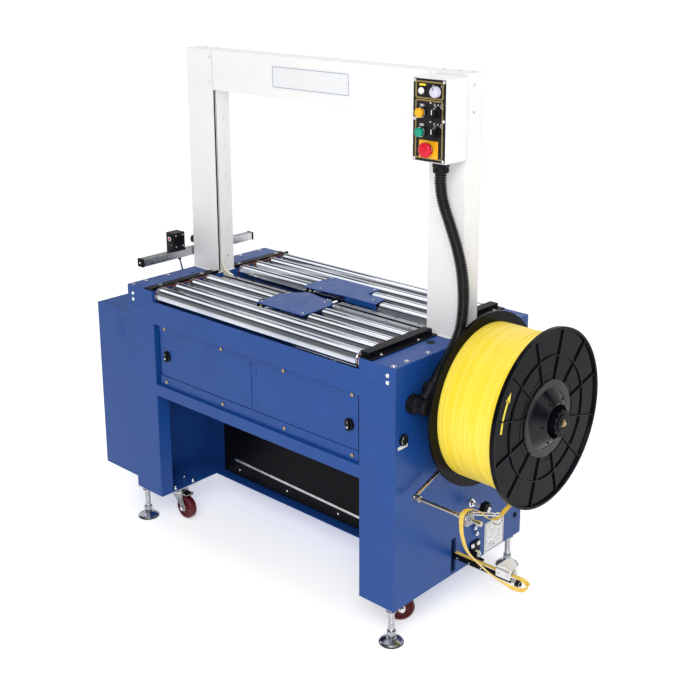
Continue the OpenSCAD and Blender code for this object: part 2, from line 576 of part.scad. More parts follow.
/* ---------- casters and feet ---------- */
module caster_plates() at() color(c_zinc) for (c = caster_c) translate([c[0], c[1], 0]) union() {
  bx(-29, 29, -46, 46, 103.5, body_z0);
  cz(87, 104, 0, 0, 6);
}
wheel_z = wheel_r + 2;
module fork(i) at() color(c_zinc) translate([caster_c[i][0], caster_c[i][1], 0]) rotate(caster_a[i]) {
  difference() {
    union() {
      cz(86, 92, 0, 0, 26);
      cz(92, 103.2, 0, 0, 21);
      for (s = [-1, 1]) translate([0, s * 15.5, 0]) rotate([90, 0, 0]) linear_extrude(height = 3, center = true) polygon([[-24,88],[24,88],[trail + 10,wheel_z + 4],[trail + 8,wheel_z - 8],[trail - 8,wheel_z - 8],[trail - 12,wheel_z + 4],[-16,74]]);
      bx(-20, 20, -17, 17, 86, 88);
      // brake tread
      bx(24, 48, -14, 14, 84, 88);
    }
    cz(80, 110, 0, 0, 6 + fit);
  }
  cy(-20, 20, trail, wheel_z, 5);
}
module wheel(i) at() color(c_red) translate([caster_c[i][0], caster_c[i][1], 0]) rotate(caster_a[i]) difference() {
  translate([trail, 0, wheel_z]) rotate([90, 0, 0]) translate([0, 0, -12]) rotate_extrude() polygon([[5 + fit,0],[14,0],[14,4],[26,4],[29,0],[34,0],[wheel_r,4],[wheel_r,20],[34,24],[29,24],[26,20],[14,20],[14,24],[5 + fit,24]]);
}
module foot(x, y) at() color(c_zinc) translate([x, y, 0]) union() {
  rotate_extrude() polygon([[0,0],[foot_r - 1,0],[foot_r,1],[foot_r,5],[foot_r - 4,8],[14,15],[12,20],[0,20]]);
  cylinder(h = 150, r = stem_r);
  translate([0, 0, 24]) cylinder(h = 12, r = 13, $fn = 6);
  translate([0, 0, 96]) cylinder(h = 10.5, r = 14, $fn = 6);
}

/* ---------- rollers ---------- */
module rprof(x0, x1) difference() {
  cx(x0, x1, 0, 0, roller_r);
  cx(x0 + 15, x1 - 15, 0, 0, roller_r - roller_wall);
  // shallow recess in each end
  cx(x0 - 1, x0 + 2, 0, 0, roller_r - 2.5);
  cx(x1 - 2, x1 + 1, 0, 0, roller_r - 2.5);
}
module roller(i) at() color(c_steel) translate([0, roller_ys[i], roller_z]) difference() {
  union() {
    if (split[i][1] > 0) { rprof(-roller_hx, split[i][0]); rprof(split[i][1], roller_hx); }
    else rprof(-roller_hx, roller_hx);
    cx(-421.2, 421.2, 0, 0, shaft_r);
  }
  for (s = [-1, 1]) for (g = groove) difference() { cx(s * g - 2.3, s * g + 2.3, 0, 0, roller_r + 1); cx(s * g - 3, s * g + 3, 0, 0, roller_r - 4); }
}
module roller_1() roller(0);
module roller_2() roller(1);
module roller_3() roller(2);
module roller_4() roller(3);
module roller_5() roller(4);
module roller_6() roller(5);
module roller_7() roller(6);
module roller_8() roller(7);
module caster_fork_1() fork(0);
module caster_fork_2() fork(1);
module caster_fork_3() fork(2);
module caster_fork_4() fork(3);
module caster_wheel_1() wheel(0);
module caster_wheel_2() wheel(1);
module caster_wheel_3() wheel(2);
module caster_wheel_4() wheel(3);
module foot_1() foot(-foot_x, foot_ys[0]);
module foot_2() foot(foot_x, foot_ys[0]);
module foot_3() foot(-foot_x, foot_ys[1]);
module foot_4() foot(foot_x, foot_ys[1]);

main_frame();
body_shells();
table_caps();
guide_rails();
centre_plates();
strap_track();
table_belts();
strapping_head();
pool_box();
arch_frame();
control_box();
control_panel();
conduit();
conduit_fittings();
sensor_bar();
sensor_head();
reel_shaft();
side_fittings();
fasteners();
caster_plates();
strap_lead();
cabinet();
roller_1();
roller_2();
roller_3();
roller_4();
roller_5();
roller_6();
roller_7();
roller_8();
caster_fork_1();
caster_fork_2();
caster_fork_3();
caster_fork_4();
caster_wheel_1();
caster_wheel_2();
caster_wheel_3();
caster_wheel_4();
foot_1();
foot_2();
foot_3();
foot_4();
power_knob();
yellow_button();
green_button();
selector_upper();
selector_lower();
estop_button();
side_button();
reel_flange_inner();
reel_flange_outer();
strap_coil();
reel_nut();
brake_arm();
dancer_arm();
tension_knob();
left_door();
right_door();
left_latch();
right_latch();
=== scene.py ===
import bpy, bmesh, math, random
from mathutils import Vector, Matrix, noise as mnoise


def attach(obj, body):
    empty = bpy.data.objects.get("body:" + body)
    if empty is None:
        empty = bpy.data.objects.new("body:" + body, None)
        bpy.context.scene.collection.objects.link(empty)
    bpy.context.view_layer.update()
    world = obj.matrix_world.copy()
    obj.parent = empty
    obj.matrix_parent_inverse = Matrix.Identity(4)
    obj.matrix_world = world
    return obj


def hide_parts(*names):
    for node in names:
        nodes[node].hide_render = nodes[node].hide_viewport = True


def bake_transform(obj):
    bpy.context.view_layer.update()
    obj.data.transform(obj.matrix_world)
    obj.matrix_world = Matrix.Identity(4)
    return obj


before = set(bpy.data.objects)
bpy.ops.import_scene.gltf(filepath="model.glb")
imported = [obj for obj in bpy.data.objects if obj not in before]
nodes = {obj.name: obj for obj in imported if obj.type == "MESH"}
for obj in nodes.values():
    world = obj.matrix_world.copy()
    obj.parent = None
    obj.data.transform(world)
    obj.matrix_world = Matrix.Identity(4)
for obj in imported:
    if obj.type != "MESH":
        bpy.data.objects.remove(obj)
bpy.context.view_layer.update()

random.seed(7)
OX, OY = -70.25, 15.5


def R(p):
    """machine millimetres to row-frame metres"""
    return Vector(((p[0] + OX) / 1000, (p[1] + OY) / 1000, p[2] / 1000))


# ------------------------------------------------------------------ materials
def lin(r, g, b):
    f = lambda c: c / 12.92 if c <= 0.04045 else ((c + 0.055) / 1.055) ** 2.4
    return (f(r / 255), f(g / 255), f(b / 255), 1)


MATS = {}


class Tree:
    def __init__(s, name):
        s.mat = bpy.data.materials.new(name)
        s.mat.use_nodes = True
        s.nt = s.mat.node_tree
        s.b = s.nt.nodes["Principled BSDF"]
        s.tc = s.nt.nodes.new("ShaderNodeTexCoord")

    def n(s, t, **kw):
        x = s.nt.nodes.new(t)
        for k, v in kw.items():
            setattr(x, k, v)
        return x

    def l(s, a, b):
        s.nt.links.new(a, b)

    def noise(s, scale, detail=4, rough=0.55, stretch=(1, 1, 1), dist=0.0):
        mp = s.n("ShaderNodeMapping")
        mp.inputs["Scale"].default_value = stretch
        s.l(s.tc.outputs["Object"], mp.inputs["Vector"])
        t = s.n("ShaderNodeTexNoise")
        t.inputs["Scale"].default_value = scale
        t.inputs["Detail"].default_value = detail
        t.inputs["Roughness"].default_value = rough
        t.inputs["Distortion"].default_value = dist
        s.l(mp.outputs["Vector"], t.inputs["Vector"])
        return t.outputs["Fac"]

    def rng(s, x, a, b, c, d):
        m = s.n("ShaderNodeMapRange")
        for k, v in zip(("From Min", "From Max", "To Min", "To Max"), (a, b, c, d)):
            m.inputs[k].default_value = v
        s.l(x, m.inputs["Value"])
        return m.outputs["Result"]

    def mix(s, fac, a, b, mode="MIX"):
        m = s.n("ShaderNodeMix", data_type="RGBA", blend_type=mode)
        for sock, v in ((m.inputs[0], fac), (m.inputs[6], a), (m.inputs[7], b)):
            if isinstance(v, (float, int)):
                sock.default_value = v
            elif isinstance(v, tuple):
                sock.default_value = v
            else:
                s.l(v, sock)
        return m.outputs[2]

    def mul(s, a, b, op="MULTIPLY"):
        m = s.n("ShaderNodeMath", operation=op)
        for sock, v in ((m.inputs[0], a), (m.inputs[1], b)):
            if isinstance(v, (float, int)):
                sock.default_value = v
            else:
                s.l(v, sock)
        return m.outputs[0]

    def bump(s, h, strength, dist, normal=None):
        m = s.n("ShaderNodeBump")
        m.inputs["Strength"].default_value = strength
        m.inputs["Distance"].default_value = dist
        s.l(h, m.inputs["Height"])
        if normal is not None:
            s.l(normal, m.inputs["Normal"])
        return m.outputs["Normal"]

    def edge(s, radius):
        """soft edge normal and an edge mask"""
        b = s.n("ShaderNodeBevel", samples=6)
        b.inputs["Radius"].default_value = radius
        g = s.n("ShaderNodeNewGeometry")
        d = s.n("ShaderNodeVectorMath", operation="DOT_PRODUCT")
        s.l(b.outputs["Normal"], d.inputs[0])
        s.l(g.outputs["True Normal"], d.inputs[1])
        return b.outputs["Normal"], s.rng(d.outputs["Value"], 0.995, 0.90, 0.0, 1.0)


def setv(b, **kw):
    names = {"metal": "Metallic", "rough": "Roughness", "spec": "Specular IOR Level", "coat": "Coat Weight",
             "coatr": "Coat Roughness", "sss": "Subsurface Weight", "aniso": "Anisotropic", "sheen": "Sheen Weight", "ior": "IOR"}
    for k, v in kw.items():
        b.inputs[names[k]].default_value = v


def mat(name, col, rough=0.4, metal=0.0, spec=0.5, var=0.06, vscale=14, bump=0.15, bscale=700, bdist=0.00025, rvar=0.06,
        bev=0.0008, edge_wear_highlight=0.0, edge_wear_highlight_col=None, stretch=(1, 1, 1), bstretch=(1, 1, 1), coat=0.0, sss=0.0, grime=0.0, speck=0.0):
    t = Tree(name)
    setv(t.b, metal=metal, spec=spec, coat=coat, coatr=0.12, sss=sss)
    if sss:
        t.b.inputs["Subsurface Radius"].default_value = (0.004, 0.003, 0.001)
        t.b.inputs["Subsurface Scale"].default_value = 1.0
    dark = tuple(c * (1 - var) for c in col[:3]) + (1,)
    light = tuple(min(1, c * (1 + var)) for c in col[:3]) + (1,)
    c = t.mix(t.rng(t.noise(vscale, 5, stretch=stretch), 0.35, 0.65, 0, 1), dark, light)
    if speck:
        sp = t.rng(t.noise(1600, 2), 0.62, 0.72, 0, speck)
        c = t.mix(sp, c, tuple(min(1, x * 1.6 + 0.02) for x in col[:3]) + (1,))
    if grime:
        gr = t.rng(t.noise(5, 7, 0.65), 0.5, 0.75, 0, grime)
        c = t.mix(gr, c, tuple(x * 0.55 for x in col[:3]) + (1,))
    nrm, mask = t.edge(bev)
    # edges painted lighter: partly edge wear, partly a painted highlight along the rounded edges
    if edge_wear_highlight:
        w = t.mul(mask, t.rng(t.noise(60, 4), 0.38, 0.62, edge_wear_highlight * 0.35, edge_wear_highlight))
        c = t.mix(w, c, edge_wear_highlight_col or tuple(min(1, x * 1.5 + 0.03) for x in col[:3]) + (1,))
    t.l(c, t.b.inputs["Base Color"])
    t.l(t.rng(t.noise(vscale * 3, 4, stretch=stretch), 0.3, 0.7, max(0.02, rough - rvar), min(1, rough + rvar)), t.b.inputs["Roughness"])
    t.l(t.bump(t.noise(bscale, 3, stretch=bstretch), bump, bdist, nrm), t.b.inputs["Normal"])
    MATS[name] = t.mat
    return t.mat


blue = mat("m_blue_powder_coat", (0.008, 0.059, 0.262, 1), 0.34, spec=0.26, var=0.05, bump=0.10, bscale=520, bdist=0.0003, bev=0.0012, edge_wear_highlight=0.35, edge_wear_highlight_col=(0.10, 0.19, 0.44, 1), grime=0.10, speck=0.05)
blue_dark = mat("m_blue_inner", (0.013, 0.068, 0.29, 1), 0.42, spec=0.3, var=0.07, bump=0.12, bscale=520, bev=0.0012, edge_wear_highlight=0.2, grime=0.25, speck=0.05)
white = mat("m_white_powder_coat", (0.85, 0.842, 0.836, 1), 0.38, spec=0.22, var=0.015, bump=0.09, bscale=560, bdist=0.0003, bev=0.0014, edge_wear_highlight=0.2, edge_wear_highlight_col=(0.92, 0.92, 0.92, 1), grime=0.03, speck=0.04)
steel_zinc = mat("m_zinc_plate", (0.55, 0.55, 0.56, 1), 0.30, 1.0, var=0.16, vscale=45, bump=0.10, bscale=900, rvar=0.10, bev=0.0005, edge_wear_highlight=0.3, edge_wear_highlight_col=(0.8, 0.8, 0.8, 1))
chrome = mat("m_bright_steel", (0.74, 0.74, 0.76, 1), 0.14, 1.0, var=0.06, vscale=60, bump=0.05, bscale=1200, rvar=0.06, bev=0.0004)
foot_steel = mat("m_foot_steel", (0.36, 0.38, 0.42, 1), 0.20, 1.0, var=0.12, vscale=50, bump=0.06, bscale=900, rvar=0.06, bev=0.0006)
brown_zinc = mat("m_yellow_zinc_rod", (0.46, 0.41, 0.35, 1), 0.24, 1.0, var=0.08, vscale=30, bump=0.08, bscale=900, rvar=0.08, bev=0.0005, edge_wear_highlight=0.3, edge_wear_highlight_col=(0.7, 0.62, 0.5, 1), stretch=(0.3, 1, 1))
brass = mat("m_brass_screw", (0.46, 0.34, 0.19, 1), 0.30, 1.0, var=0.12, vscale=80, bump=0.06, bscale=1500, rvar=0.08, bev=0.0004)
black = mat("m_black_plastic", (0.006, 0.006, 0.008, 1), 0.38, spec=0.14, var=0.15, vscale=30, bump=0.20, bscale=1500, bdist=0.0002, bev=0.0006, edge_wear_highlight=0.3, edge_wear_highlight_col=(0.06, 0.06, 0.065, 1))
black_satin = mat("m_black_satin_steel", (0.0035, 0.004, 0.006, 1), 0.34, spec=0.06, var=0.12, vscale=24, bump=0.10, bscale=800, bev=0.0009, edge_wear_highlight=0.5, edge_wear_highlight_col=(0.10, 0.10, 0.11, 1))
black_gloss = mat("m_black_gloss_moulding", (0.0030, 0.0034, 0.0052, 1), 0.20, spec=0.07, var=0.2, vscale=18, bump=0.05, bscale=420, bdist=0.0003, bev=0.0013, edge_wear_highlight=0.25, edge_wear_highlight_col=(0.05, 0.05, 0.06, 1))
conduit_m = mat("m_conduit", (0.005, 0.005, 0.007, 1), 0.22, spec=0.3, var=0.2, vscale=30, bump=0.12, bscale=1200, bev=0.0004, edge_wear_highlight=0.3, edge_wear_highlight_col=(0.07, 0.07, 0.075, 1))
hub_gloss = mat("m_hub_gloss", (0.004, 0.0045, 0.0065, 1), 0.17, spec=0.26, var=0.2, vscale=18, bump=0.03, bscale=420, bdist=0.0003, bev=0.001)
rubber = mat("m_black_rubber", (0.014, 0.014, 0.014, 1), 0.65, spec=0.3, var=0.2, vscale=40, bump=0.35, bscale=1300, bev=0.0006)
cast = mat("m_cast_grey", (0.20, 0.205, 0.21, 1), 0.42, 0.9, var=0.14, vscale=50, bump=0.3, bscale=700, bdist=0.0004, bev=0.0008, edge_wear_highlight=0.6, edge_wear_highlight_col=(0.55, 0.55, 0.55, 1), grime=0.3)
alu = mat("m_anodised_aluminium", (0.60, 0.61, 0.63, 1), 0.30, 1.0, var=0.05, vscale=30, bump=0.14, bscale=900, bstretch=(1, 0.03, 1), rvar=0.06, bev=0.0006)
track = mat("m_track_grey", (0.33, 0.34, 0.38, 1), 0.34, 0.35, var=0.08, vscale=30, bump=0.1, bscale=800, bev=0.0008, edge_wear_highlight=0.4, grime=0.15)
cream = mat("m_cream_nylon", (0.72, 0.68, 0.56, 1), 0.42, spec=0.4, var=0.05, vscale=40, bump=0.12, bscale=900, bev=0.001, sss=0.08)
white_plastic = mat("m_white_plastic", (0.80, 0.80, 0.79, 1), 0.32, spec=0.45, var=0.03, vscale=40, bump=0.08, bscale=900, bev=0.0006, sss=0.05)
belt_red = mat("m_belt_urethane", (0.13, 0.022, 0.012, 1), 0.42, spec=0.25, var=0.15, vscale=60, bump=0.2, bscale=1100, bev=0.0004, sss=0.05)
wheel_red = mat("m_red_wheel", (0.10, 0.008, 0.014, 1), 0.38, spec=0.25, var=0.12, vscale=40, bump=0.15, bscale=900, bev=0.0008, grime=0.35)
lilac = mat("m_lilac_plastic", (0.60, 0.56, 0.72, 1), 0.24, spec=0.5, var=0.03, vscale=40, bump=0.05, bscale=900, bev=0.0006, sss=0.1, coat=0.3)
yellow_p = mat("m_yellow_plastic", (0.82, 0.60, 0.02, 1), 0.28, spec=0.5, var=0.04, vscale=60, bump=0.06, bscale=1100, bev=0.0006, sss=0.06)
amber = mat("m_amber_plastic", (0.86, 0.42, 0.012, 1), 0.32, spec=0.35, var=0.05, vscale=60, bump=0.06, bscale=1100, bev=0.0005)
green_p = mat("m_green_plastic", (0.0, 0.30, 0.19, 1), 0.28, spec=0.5, var=0.06, vscale=60, bump=0.06, bscale=1100, bev=0.0006)
red_p = mat("m_red_plastic", (0.62, 0.008, 0.03, 1), 0.28, spec=0.3, var=0.06, vscale=60, bump=0.06, bscale=1100, bev=0.0008)
gold = mat("m_gold_print", (0.66, 0.48, 0.16, 1), 0.35, 0.3, var=0.08, vscale=90, bump=0.1, bscale=2000, bev=0.0001)
ink_white = mat("m_white_print", (0.82, 0.82, 0.82, 1), 0.45, var=0.05, vscale=200, bump=0.1, bscale=2500, bev=0.0001)
black_print_and_slot_shade = mat("m_black_print_and_slot_shade", (0.015, 0.015, 0.017, 1), 0.45, var=0.15, vscale=200, bump=0.1, bscale=2500, bev=0.0001)
ink_yellow = mat("m_yellow_print", (0.90, 0.70, 0.03, 1), 0.4, var=0.05, vscale=160, bump=0.1, bscale=2500, bev=0.0001)
face_black = mat("m_panel_face", (0.010, 0.010, 0.012, 1), 0.32, spec=0.2, var=0.15, vscale=40, bump=0.12, bscale=1600, bev=0.0006, speck=0.2)
label = mat("m_blank_label", (0.78, 0.79, 0.80, 1), 0.34, spec=0.5, var=0.02, vscale=60, bump=0.05, bscale=1200, bev=0.0004)


def roller_mat():
    t = Tree("m_roller_tube")
    setv(t.b, metal=1.0)
    lines = t.noise(2400, 3, stretch=(1, 0.01, 0.01))
    smear = t.noise(22, 5, 0.6, stretch=(0.25, 1, 1))
    c = t.mix(t.rng(smear, 0.35, 0.65, 0, 1), (0.52, 0.56, 0.64, 1), (0.68, 0.71, 0.77, 1))
    c = t.mix(t.rng(t.noise(160, 4), 0.60, 0.75, 0, 0.18), c, (0.38, 0.41, 0.49, 1))
    t.l(c, t.b.inputs["Base Color"])
    nrm, mask = t.edge(0.0007)
    t.l(t.rng(smear, 0.3, 0.7, 0.045, 0.10), t.b.inputs["Roughness"])
    t.l(t.bump(lines, 0.012, 0.0001, nrm), t.b.inputs["Normal"])
    return t.mat


roller_m = roller_mat()


def strap_mat(name, base, hi, across):
    """embossed plastic band: fine lines along its length"""
    t = Tree(name)
    setv(t.b, spec=0.42, sss=0.10)
    t.b.inputs["Subsurface Radius"].default_value = (0.004, 0.003, 0.0012)
    t.b.inputs["Subsurface Scale"].default_value = 1.0
    st = {"x": (1, 0.02, 0.02), "any": (1, 1, 1)}[across]
    a = t.noise(420, 3, 0.6, stretch=st)
    b = t.noise(78, 3, 0.5, stretch=st)
    c = t.mix(t.rng(b, 0.38, 0.62, 0, 1), base, hi)
    c = t.mix(t.rng(a, 0.58, 0.74, 0, 0.22), c, tuple(x * 0.74 for x in base[:3]) + (1,))
    t.l(c, t.b.inputs["Base Color"])
    t.l(t.rng(a, 0.3, 0.7, 0.26, 0.42), t.b.inputs["Roughness"])
    v = t.n("ShaderNodeTexVoronoi")
    v.inputs["Scale"].default_value = 900
    t.l(t.tc.outputs["Object"], v.inputs["Vector"])
    nrm, mask = t.edge(0.0004)
    n1 = t.bump(v.outputs["Distance"], 0.12, 0.0002, nrm)
    t.l(t.bump(a, 0.35, 0.0004, n1), t.b.inputs["Normal"])
    return t.mat


coil_m = strap_mat("m_wound_strap", (0.94, 0.69, 0.035, 1), (0.96, 0.75, 0.09, 1), "x")
strap_m = strap_mat("m_strap_band", (0.72, 0.46, 0.055, 1), (0.80, 0.58, 0.13, 1), "any")


# ------------------------------------------------------------------ CAD nodes
def finish_cad(name, mats, pick=None, angle=32):
    """new finishes for a CAD node; pick(x, y, z, nx, ny, nz) in machine mm chooses one of them for each face"""
    o = nodes[name]
    me = o.data
    me.materials.clear()
    for m in mats:
        me.materials.append(m)
    if pick:
        for p in me.polygons:
            c = p.center
            n = p.normal
            p.material_index = pick(c.x * 1000 - OX, c.y * 1000 - OY, c.z * 1000, n.x, n.y, n.z)
    else:
        for p in me.polygons:
            p.material_index = 0
    return o


finish_cad("main_frame", [blue, blue_dark], lambda x, y, z, a, b, c: 1 if (y > -200 and z < 701) or z < 111 else 0)
finish_cad("body_shells", [blue, blue_dark], lambda x, y, z, a, b, c: 1 if abs(x) < 541 and y > -299.5 and y < 277.5 and abs(x) > 430 else 0)
finish_cad("table_caps", [blue])
finish_cad("guide_rails", [black_satin])
finish_cad("centre_plates", [blue])
finish_cad("strap_track", [track, cream, black_satin], lambda x, y, z, a, b, c: (2 if z > 791.9 and not (z < 831 and abs(x) < 425) else (1 if z > 781.15 else 0)))
finish_cad("table_belts", [belt_red])
finish_cad("strapping_head", [cast, chrome, black_satin], lambda x, y, z, a, b, c: (1 if z > 772.1 and x > 11 else (2 if z > 772.1 and x < -15 else 0)))
finish_cad("pool_box", [black_satin, steel_zinc], lambda x, y, z, a, b, c: 1 if y < -50.1 else 0)
finish_cad("arch_frame", [white])
finish_cad("control_box", [white])
finish_cad("control_panel", [face_black, white_plastic, black], lambda x, y, z, a, b, c: (1 if (x - 471) ** 2 + (z - 1456) ** 2 < 66 and y < -124.01 else (2 if y < -124.01 else 0)))
finish_cad("conduit_fittings", [black])
finish_cad("sensor_bar", [alu, black_satin, chrome], lambda x, y, z, a, b, c: (0 if (x < -547.95 and 827.9 < z < 852.1 and -231.05 < y < 227.05) else (2 if (x < -552.5 and z < 830) else 1)))
finish_cad("sensor_head", [black])
finish_cad("reel_shaft", [steel_zinc, brass, blue], lambda x, y, z, a, b, c: 1 if x > 836.1 else 0)
finish_cad("side_fittings", [black_satin, chrome, label], lambda x, y, z, a, b, c: (
    2 if (x < 544.01 and x > 542.9 and (99.9 < y < 193.1 and z < 203.1 or y < -251.9 and z < 575)) else
    (1 if (y < -38 and 430 < x < 500 and abs(z - 166) < 6 and abs(x - 445) < 5.5) or (x > 542.9 and (math.hypot(y - 33, z - 296) < 9.3 or math.hypot(y - 47, z - 215) < 7.3 or math.hypot(y - 55, z - 194) < 7.3)) else 0)))
finish_cad("fasteners", [chrome, brass], lambda x, y, z, a, b, c: 1 if (y < -291 and 500 < z < 690) else 0)
finish_cad("caster_plates", [steel_zinc])
finish_cad("cabinet", [blue])
for i in range(1, 9):
    finish_cad("roller_%d" % i, [roller_m])
for i in range(1, 5):
    finish_cad("caster_fork_%d" % i, [steel_zinc, black_satin], lambda x, y, z, a, b, c: 0)
    finish_cad("caster_wheel_%d" % i, [wheel_red])
    finish_cad("foot_%d" % i, [foot_steel])
for n in ("selector_upper", "selector_lower", "side_button", "left_latch", "right_latch", "tension_knob"):
    finish_cad(n, [black])
finish_cad("yellow_button", [amber])
finish_cad("green_button", [green_p])
finish_cad("estop_button", [red_p])
finish_cad("reel_flange_inner", [black_gloss])
finish_cad("reel_flange_outer", [black_gloss])
finish_cad("reel_nut", [black_gloss])
finish_cad("brake_arm", [brown_zinc, track, chrome], lambda x, y, z, a, b, c: (1 if 718.9 < x < 745.1 and abs(y + 248) < 14.1 and abs(z - 429) < 14.1 else (2 if (y < -100 and z < 440 and 715 < x < 750 and (abs(y + 248) > 14.15 or abs(z - 429) > 14.15)) else 0)))
finish_cad("dancer_arm", [black_satin, white_plastic, chrome], lambda x, y, z, a, b, c: (2 if x > 742.1 else (1 if z > 172.1 and 690 < x < 742 else 0)))
finish_cad("left_door", [blue])
finish_cad("right_door", [blue])


# ------------------------------------------------------------------ mesh kit
class Kit:
    def __init__(s, name):
        s.name, s.v, s.f, s.m, s.mats = name, [], [], [], []

    def mi(s, m):
        if m not in s.mats:
            s.mats.append(m)
        return s.mats.index(m)

    def add(s, verts, faces, m, M=None):
        b = len(s.v)
        s.v += [M @ Vector(v) if M else Vector(v) for v in verts]
        s.f += [[b + i for i in f] for f in faces]
        s.m += [s.mi(m)] * len(faces)

    def box(s, x0, x1, y0, y1, z0, z1, m, M=None):
        v = [(x, y, z) for x in (x0, x1) for y in (y0, y1) for z in (z0, z1)]
        f = [(0, 1, 3, 2), (4, 6, 7, 5), (0, 4, 5, 1), (2, 3, 7, 6), (0, 2, 6, 4), (1, 5, 7, 3)]
        s.add(v, f, m, M)

    def lathe(s, prof, origin, axis, m, n=48, M=None, a0=0.0):
        """prof: (radius, height) points; a radius of 0 closes an end"""
        ax = Vector(axis).normalized()
        u = ax.orthogonal().normalized()
        w = ax.cross(u)
        o = Vector(origin)
        v, ring = [], []
        for r, h in prof:
            if r < 1e-6:
                ring.append([len(v)])
                v.append(o + ax * h)
            else:
                ring.append(list(range(len(v), len(v) + n)))
                v += [o + ax * h + (u * math.cos(a0 + 2 * math.pi * k / n) + w * math.sin(a0 + 2 * math.pi * k / n)) * r for k in range(n)]
        f = []
        for a, b in zip(ring, ring[1:]):
            if len(a) == 1 and len(b) == 1:
                continue
            for k in range(n):
                k2 = (k + 1) % n
                if len(a) == 1:
                    f.append((a[0], b[k], b[k2]))
                elif len(b) == 1:
                    f.append((a[k], b[0], a[k2]))
                else:
                    f.append((a[k], b[k], b[k2], a[k2]))
        s.add(v, f, m, M)

    def ring(s, ri, ro, h0, h1, origin, axis, m, n=48, c=0.3, M=None):
        """flat ring with chamfered edges, closed on itself"""
        p = [(ri, h0 + c), (ri + c, h0), (ro - c, h0), (ro, h0 + c), (ro, h1 - c), (ro - c, h1), (ri + c, h1), (ri, h1 - c), (ri, h0 + c)]
        s.lathe(p, origin, axis, m, n, M)

    def disc(s, r, h0, h1, origin, axis, m, n=40, c=0.4, M=None):
        s.lathe([(0, h0), (r - c, h0), (r, h0 + c), (r, h1 - c), (r - c, h1), (0, h1)], origin, axis, m, n, M)

    def hexn(s, r, h0, h1, origin, axis, m, c=0.5, M=None, a0=0.0):
        s.lathe([(0, h0), (r, h0), (r, h1 - c), (r - c, h1), (0, h1)], origin, axis, m, 6, M, a0)

    def tube(s, pts, r, m, n=16, M=None, caps=True):
        P = [Vector(p) for p in pts]
        rr = r if isinstance(r, (list, tuple)) else [r] * len(P)
        T = [(P[min(i + 1, len(P) - 1)] - P[max(i - 1, 0)]).normalized() for i in range(len(P))]
        u = T[0].orthogonal().normalized()
        v, rings = [], []
        for i, p in enumerate(P):
            u = (u - T[i] * u.dot(T[i])).normalized()
            w = T[i].cross(u)
            rings.append(list(range(len(v), len(v) + n)))
            v += [p + (u * math.cos(2 * math.pi * k / n) + w * math.sin(2 * math.pi * k / n)) * rr[i] for k in range(n)]
        f = [(a[k], b[k], b[(k + 1) % n], a[(k + 1) % n]) for a, b in zip(rings, rings[1:]) for k in range(n)]
        if caps:
            f += [tuple(rings[0]), tuple(reversed(rings[-1]))]
        s.add(v, f, m, M)

    def prism(s, poly, origin, u, v, depth, m, M=None):
        """poly in the plane of u and v, pushed out by depth along u x v"""
        o, u, v = Vector(origin), Vector(u), Vector(v)
        w = u.cross(v).normalized()
        n = len(poly)
        a = [o + u * p[0] + v * p[1] for p in poly]
        s.add(a + [p + w * depth for p in a], [tuple(reversed(range(n))), tuple(range(n, 2 * n))] + [(k, (k + 1) % n, n + (k + 1) % n, n + k) for k in range(n)], m, M)

    def band(s, outer, inner, origin, u, v, depth, m, M=None):
        """flat closed band between two loops of the same count"""
        o, u, v = Vector(origin), Vector(u), Vector(v)
        w = u.cross(v).normalized() * depth
        n = len(outer)
        A = [o + u * p[0] + v * p[1] for p in outer]
        B = [o + u * p[0] + v * p[1] for p in inner]
        V = A + B + [p + w for p in A] + [p + w for p in B]
        F = []
        for k in range(n):
            j = (k + 1) % n
            F += [(2 * n + k, 2 * n + j, 3 * n + j, 3 * n + k), (k, j, 2 * n + j, 2 * n + k), (n + k, 3 * n + k, 3 * n + j, n + j), (k, n + k, n + j, j)]
        s.add(V, F, m, M)

    def frame(s, x0, x1, y0, y1, r, w, origin, u, v, depth, m):
        s.band(rr(x0, x1, y0, y1, r), rr(x0 + w, x1 - w, y0 + w, y1 - w, max(0.05, r - w)), origin, u, v, depth, m)

    def done(s, body, bevel=0.0, replaces=(), angle=35, seg=2, ride=True):
        me = bpy.data.meshes.new(s.name)
        me.from_pydata([tuple(R(v)) for v in s.v], [], s.f)
        for m in s.mats:
            me.materials.append(m)
        me.polygons.foreach_set("material_index", s.m)
        bm = bmesh.new()
        bm.from_mesh(me)
        bmesh.ops.recalc_face_normals(bm, faces=bm.faces)
        bm.to_mesh(me)
        bm.free()
        me.shade_smooth()
        me.set_sharp_from_angle(angle=math.radians(angle))
        o = bpy.data.objects.new(s.name, me)
        bpy.context.scene.collection.objects.link(o)
        if bevel:
            b = o.modifiers.new("edges", "BEVEL")
            b.width = bevel / 1000
            b.segments = seg
            b.limit_method = "ANGLE"
            b.angle_limit = math.radians(40)
            b.harden_normals = False
        if ride:
            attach(o, body)
        if replaces:
            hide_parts(*replaces)
        return o


def rr(x0, x1, y0, y1, r, n=6):
    """rounded rectangle loop"""
    out = []
    for cx, cy, a in ((x1 - r, y1 - r, 0), (x0 + r, y1 - r, 90), (x0 + r, y0 + r, 180), (x1 - r, y0 + r, 270)):
        out += [(cx + r * math.cos(math.radians(a + 90 * k / n)), cy + r * math.sin(math.radians(a + 90 * k / n))) for k in range(n + 1)]
    return out


def crom(P, n):
    P = [Vector(p) for p in P]
    out = []
    for i in range(len(P) - 1):
        a, b, c, d = P[max(i - 1, 0)], P[i], P[i + 1], P[min(i + 2, len(P) - 1)]
        for k in range(n):
            t = k / n
            out.append(0.5 * ((2 * b) + (c - a) * t + (2 * a - 5 * b + 4 * c - d) * t * t + (3 * b - a - 3 * c + d) * t ** 3))
    return out + [P[-1]]


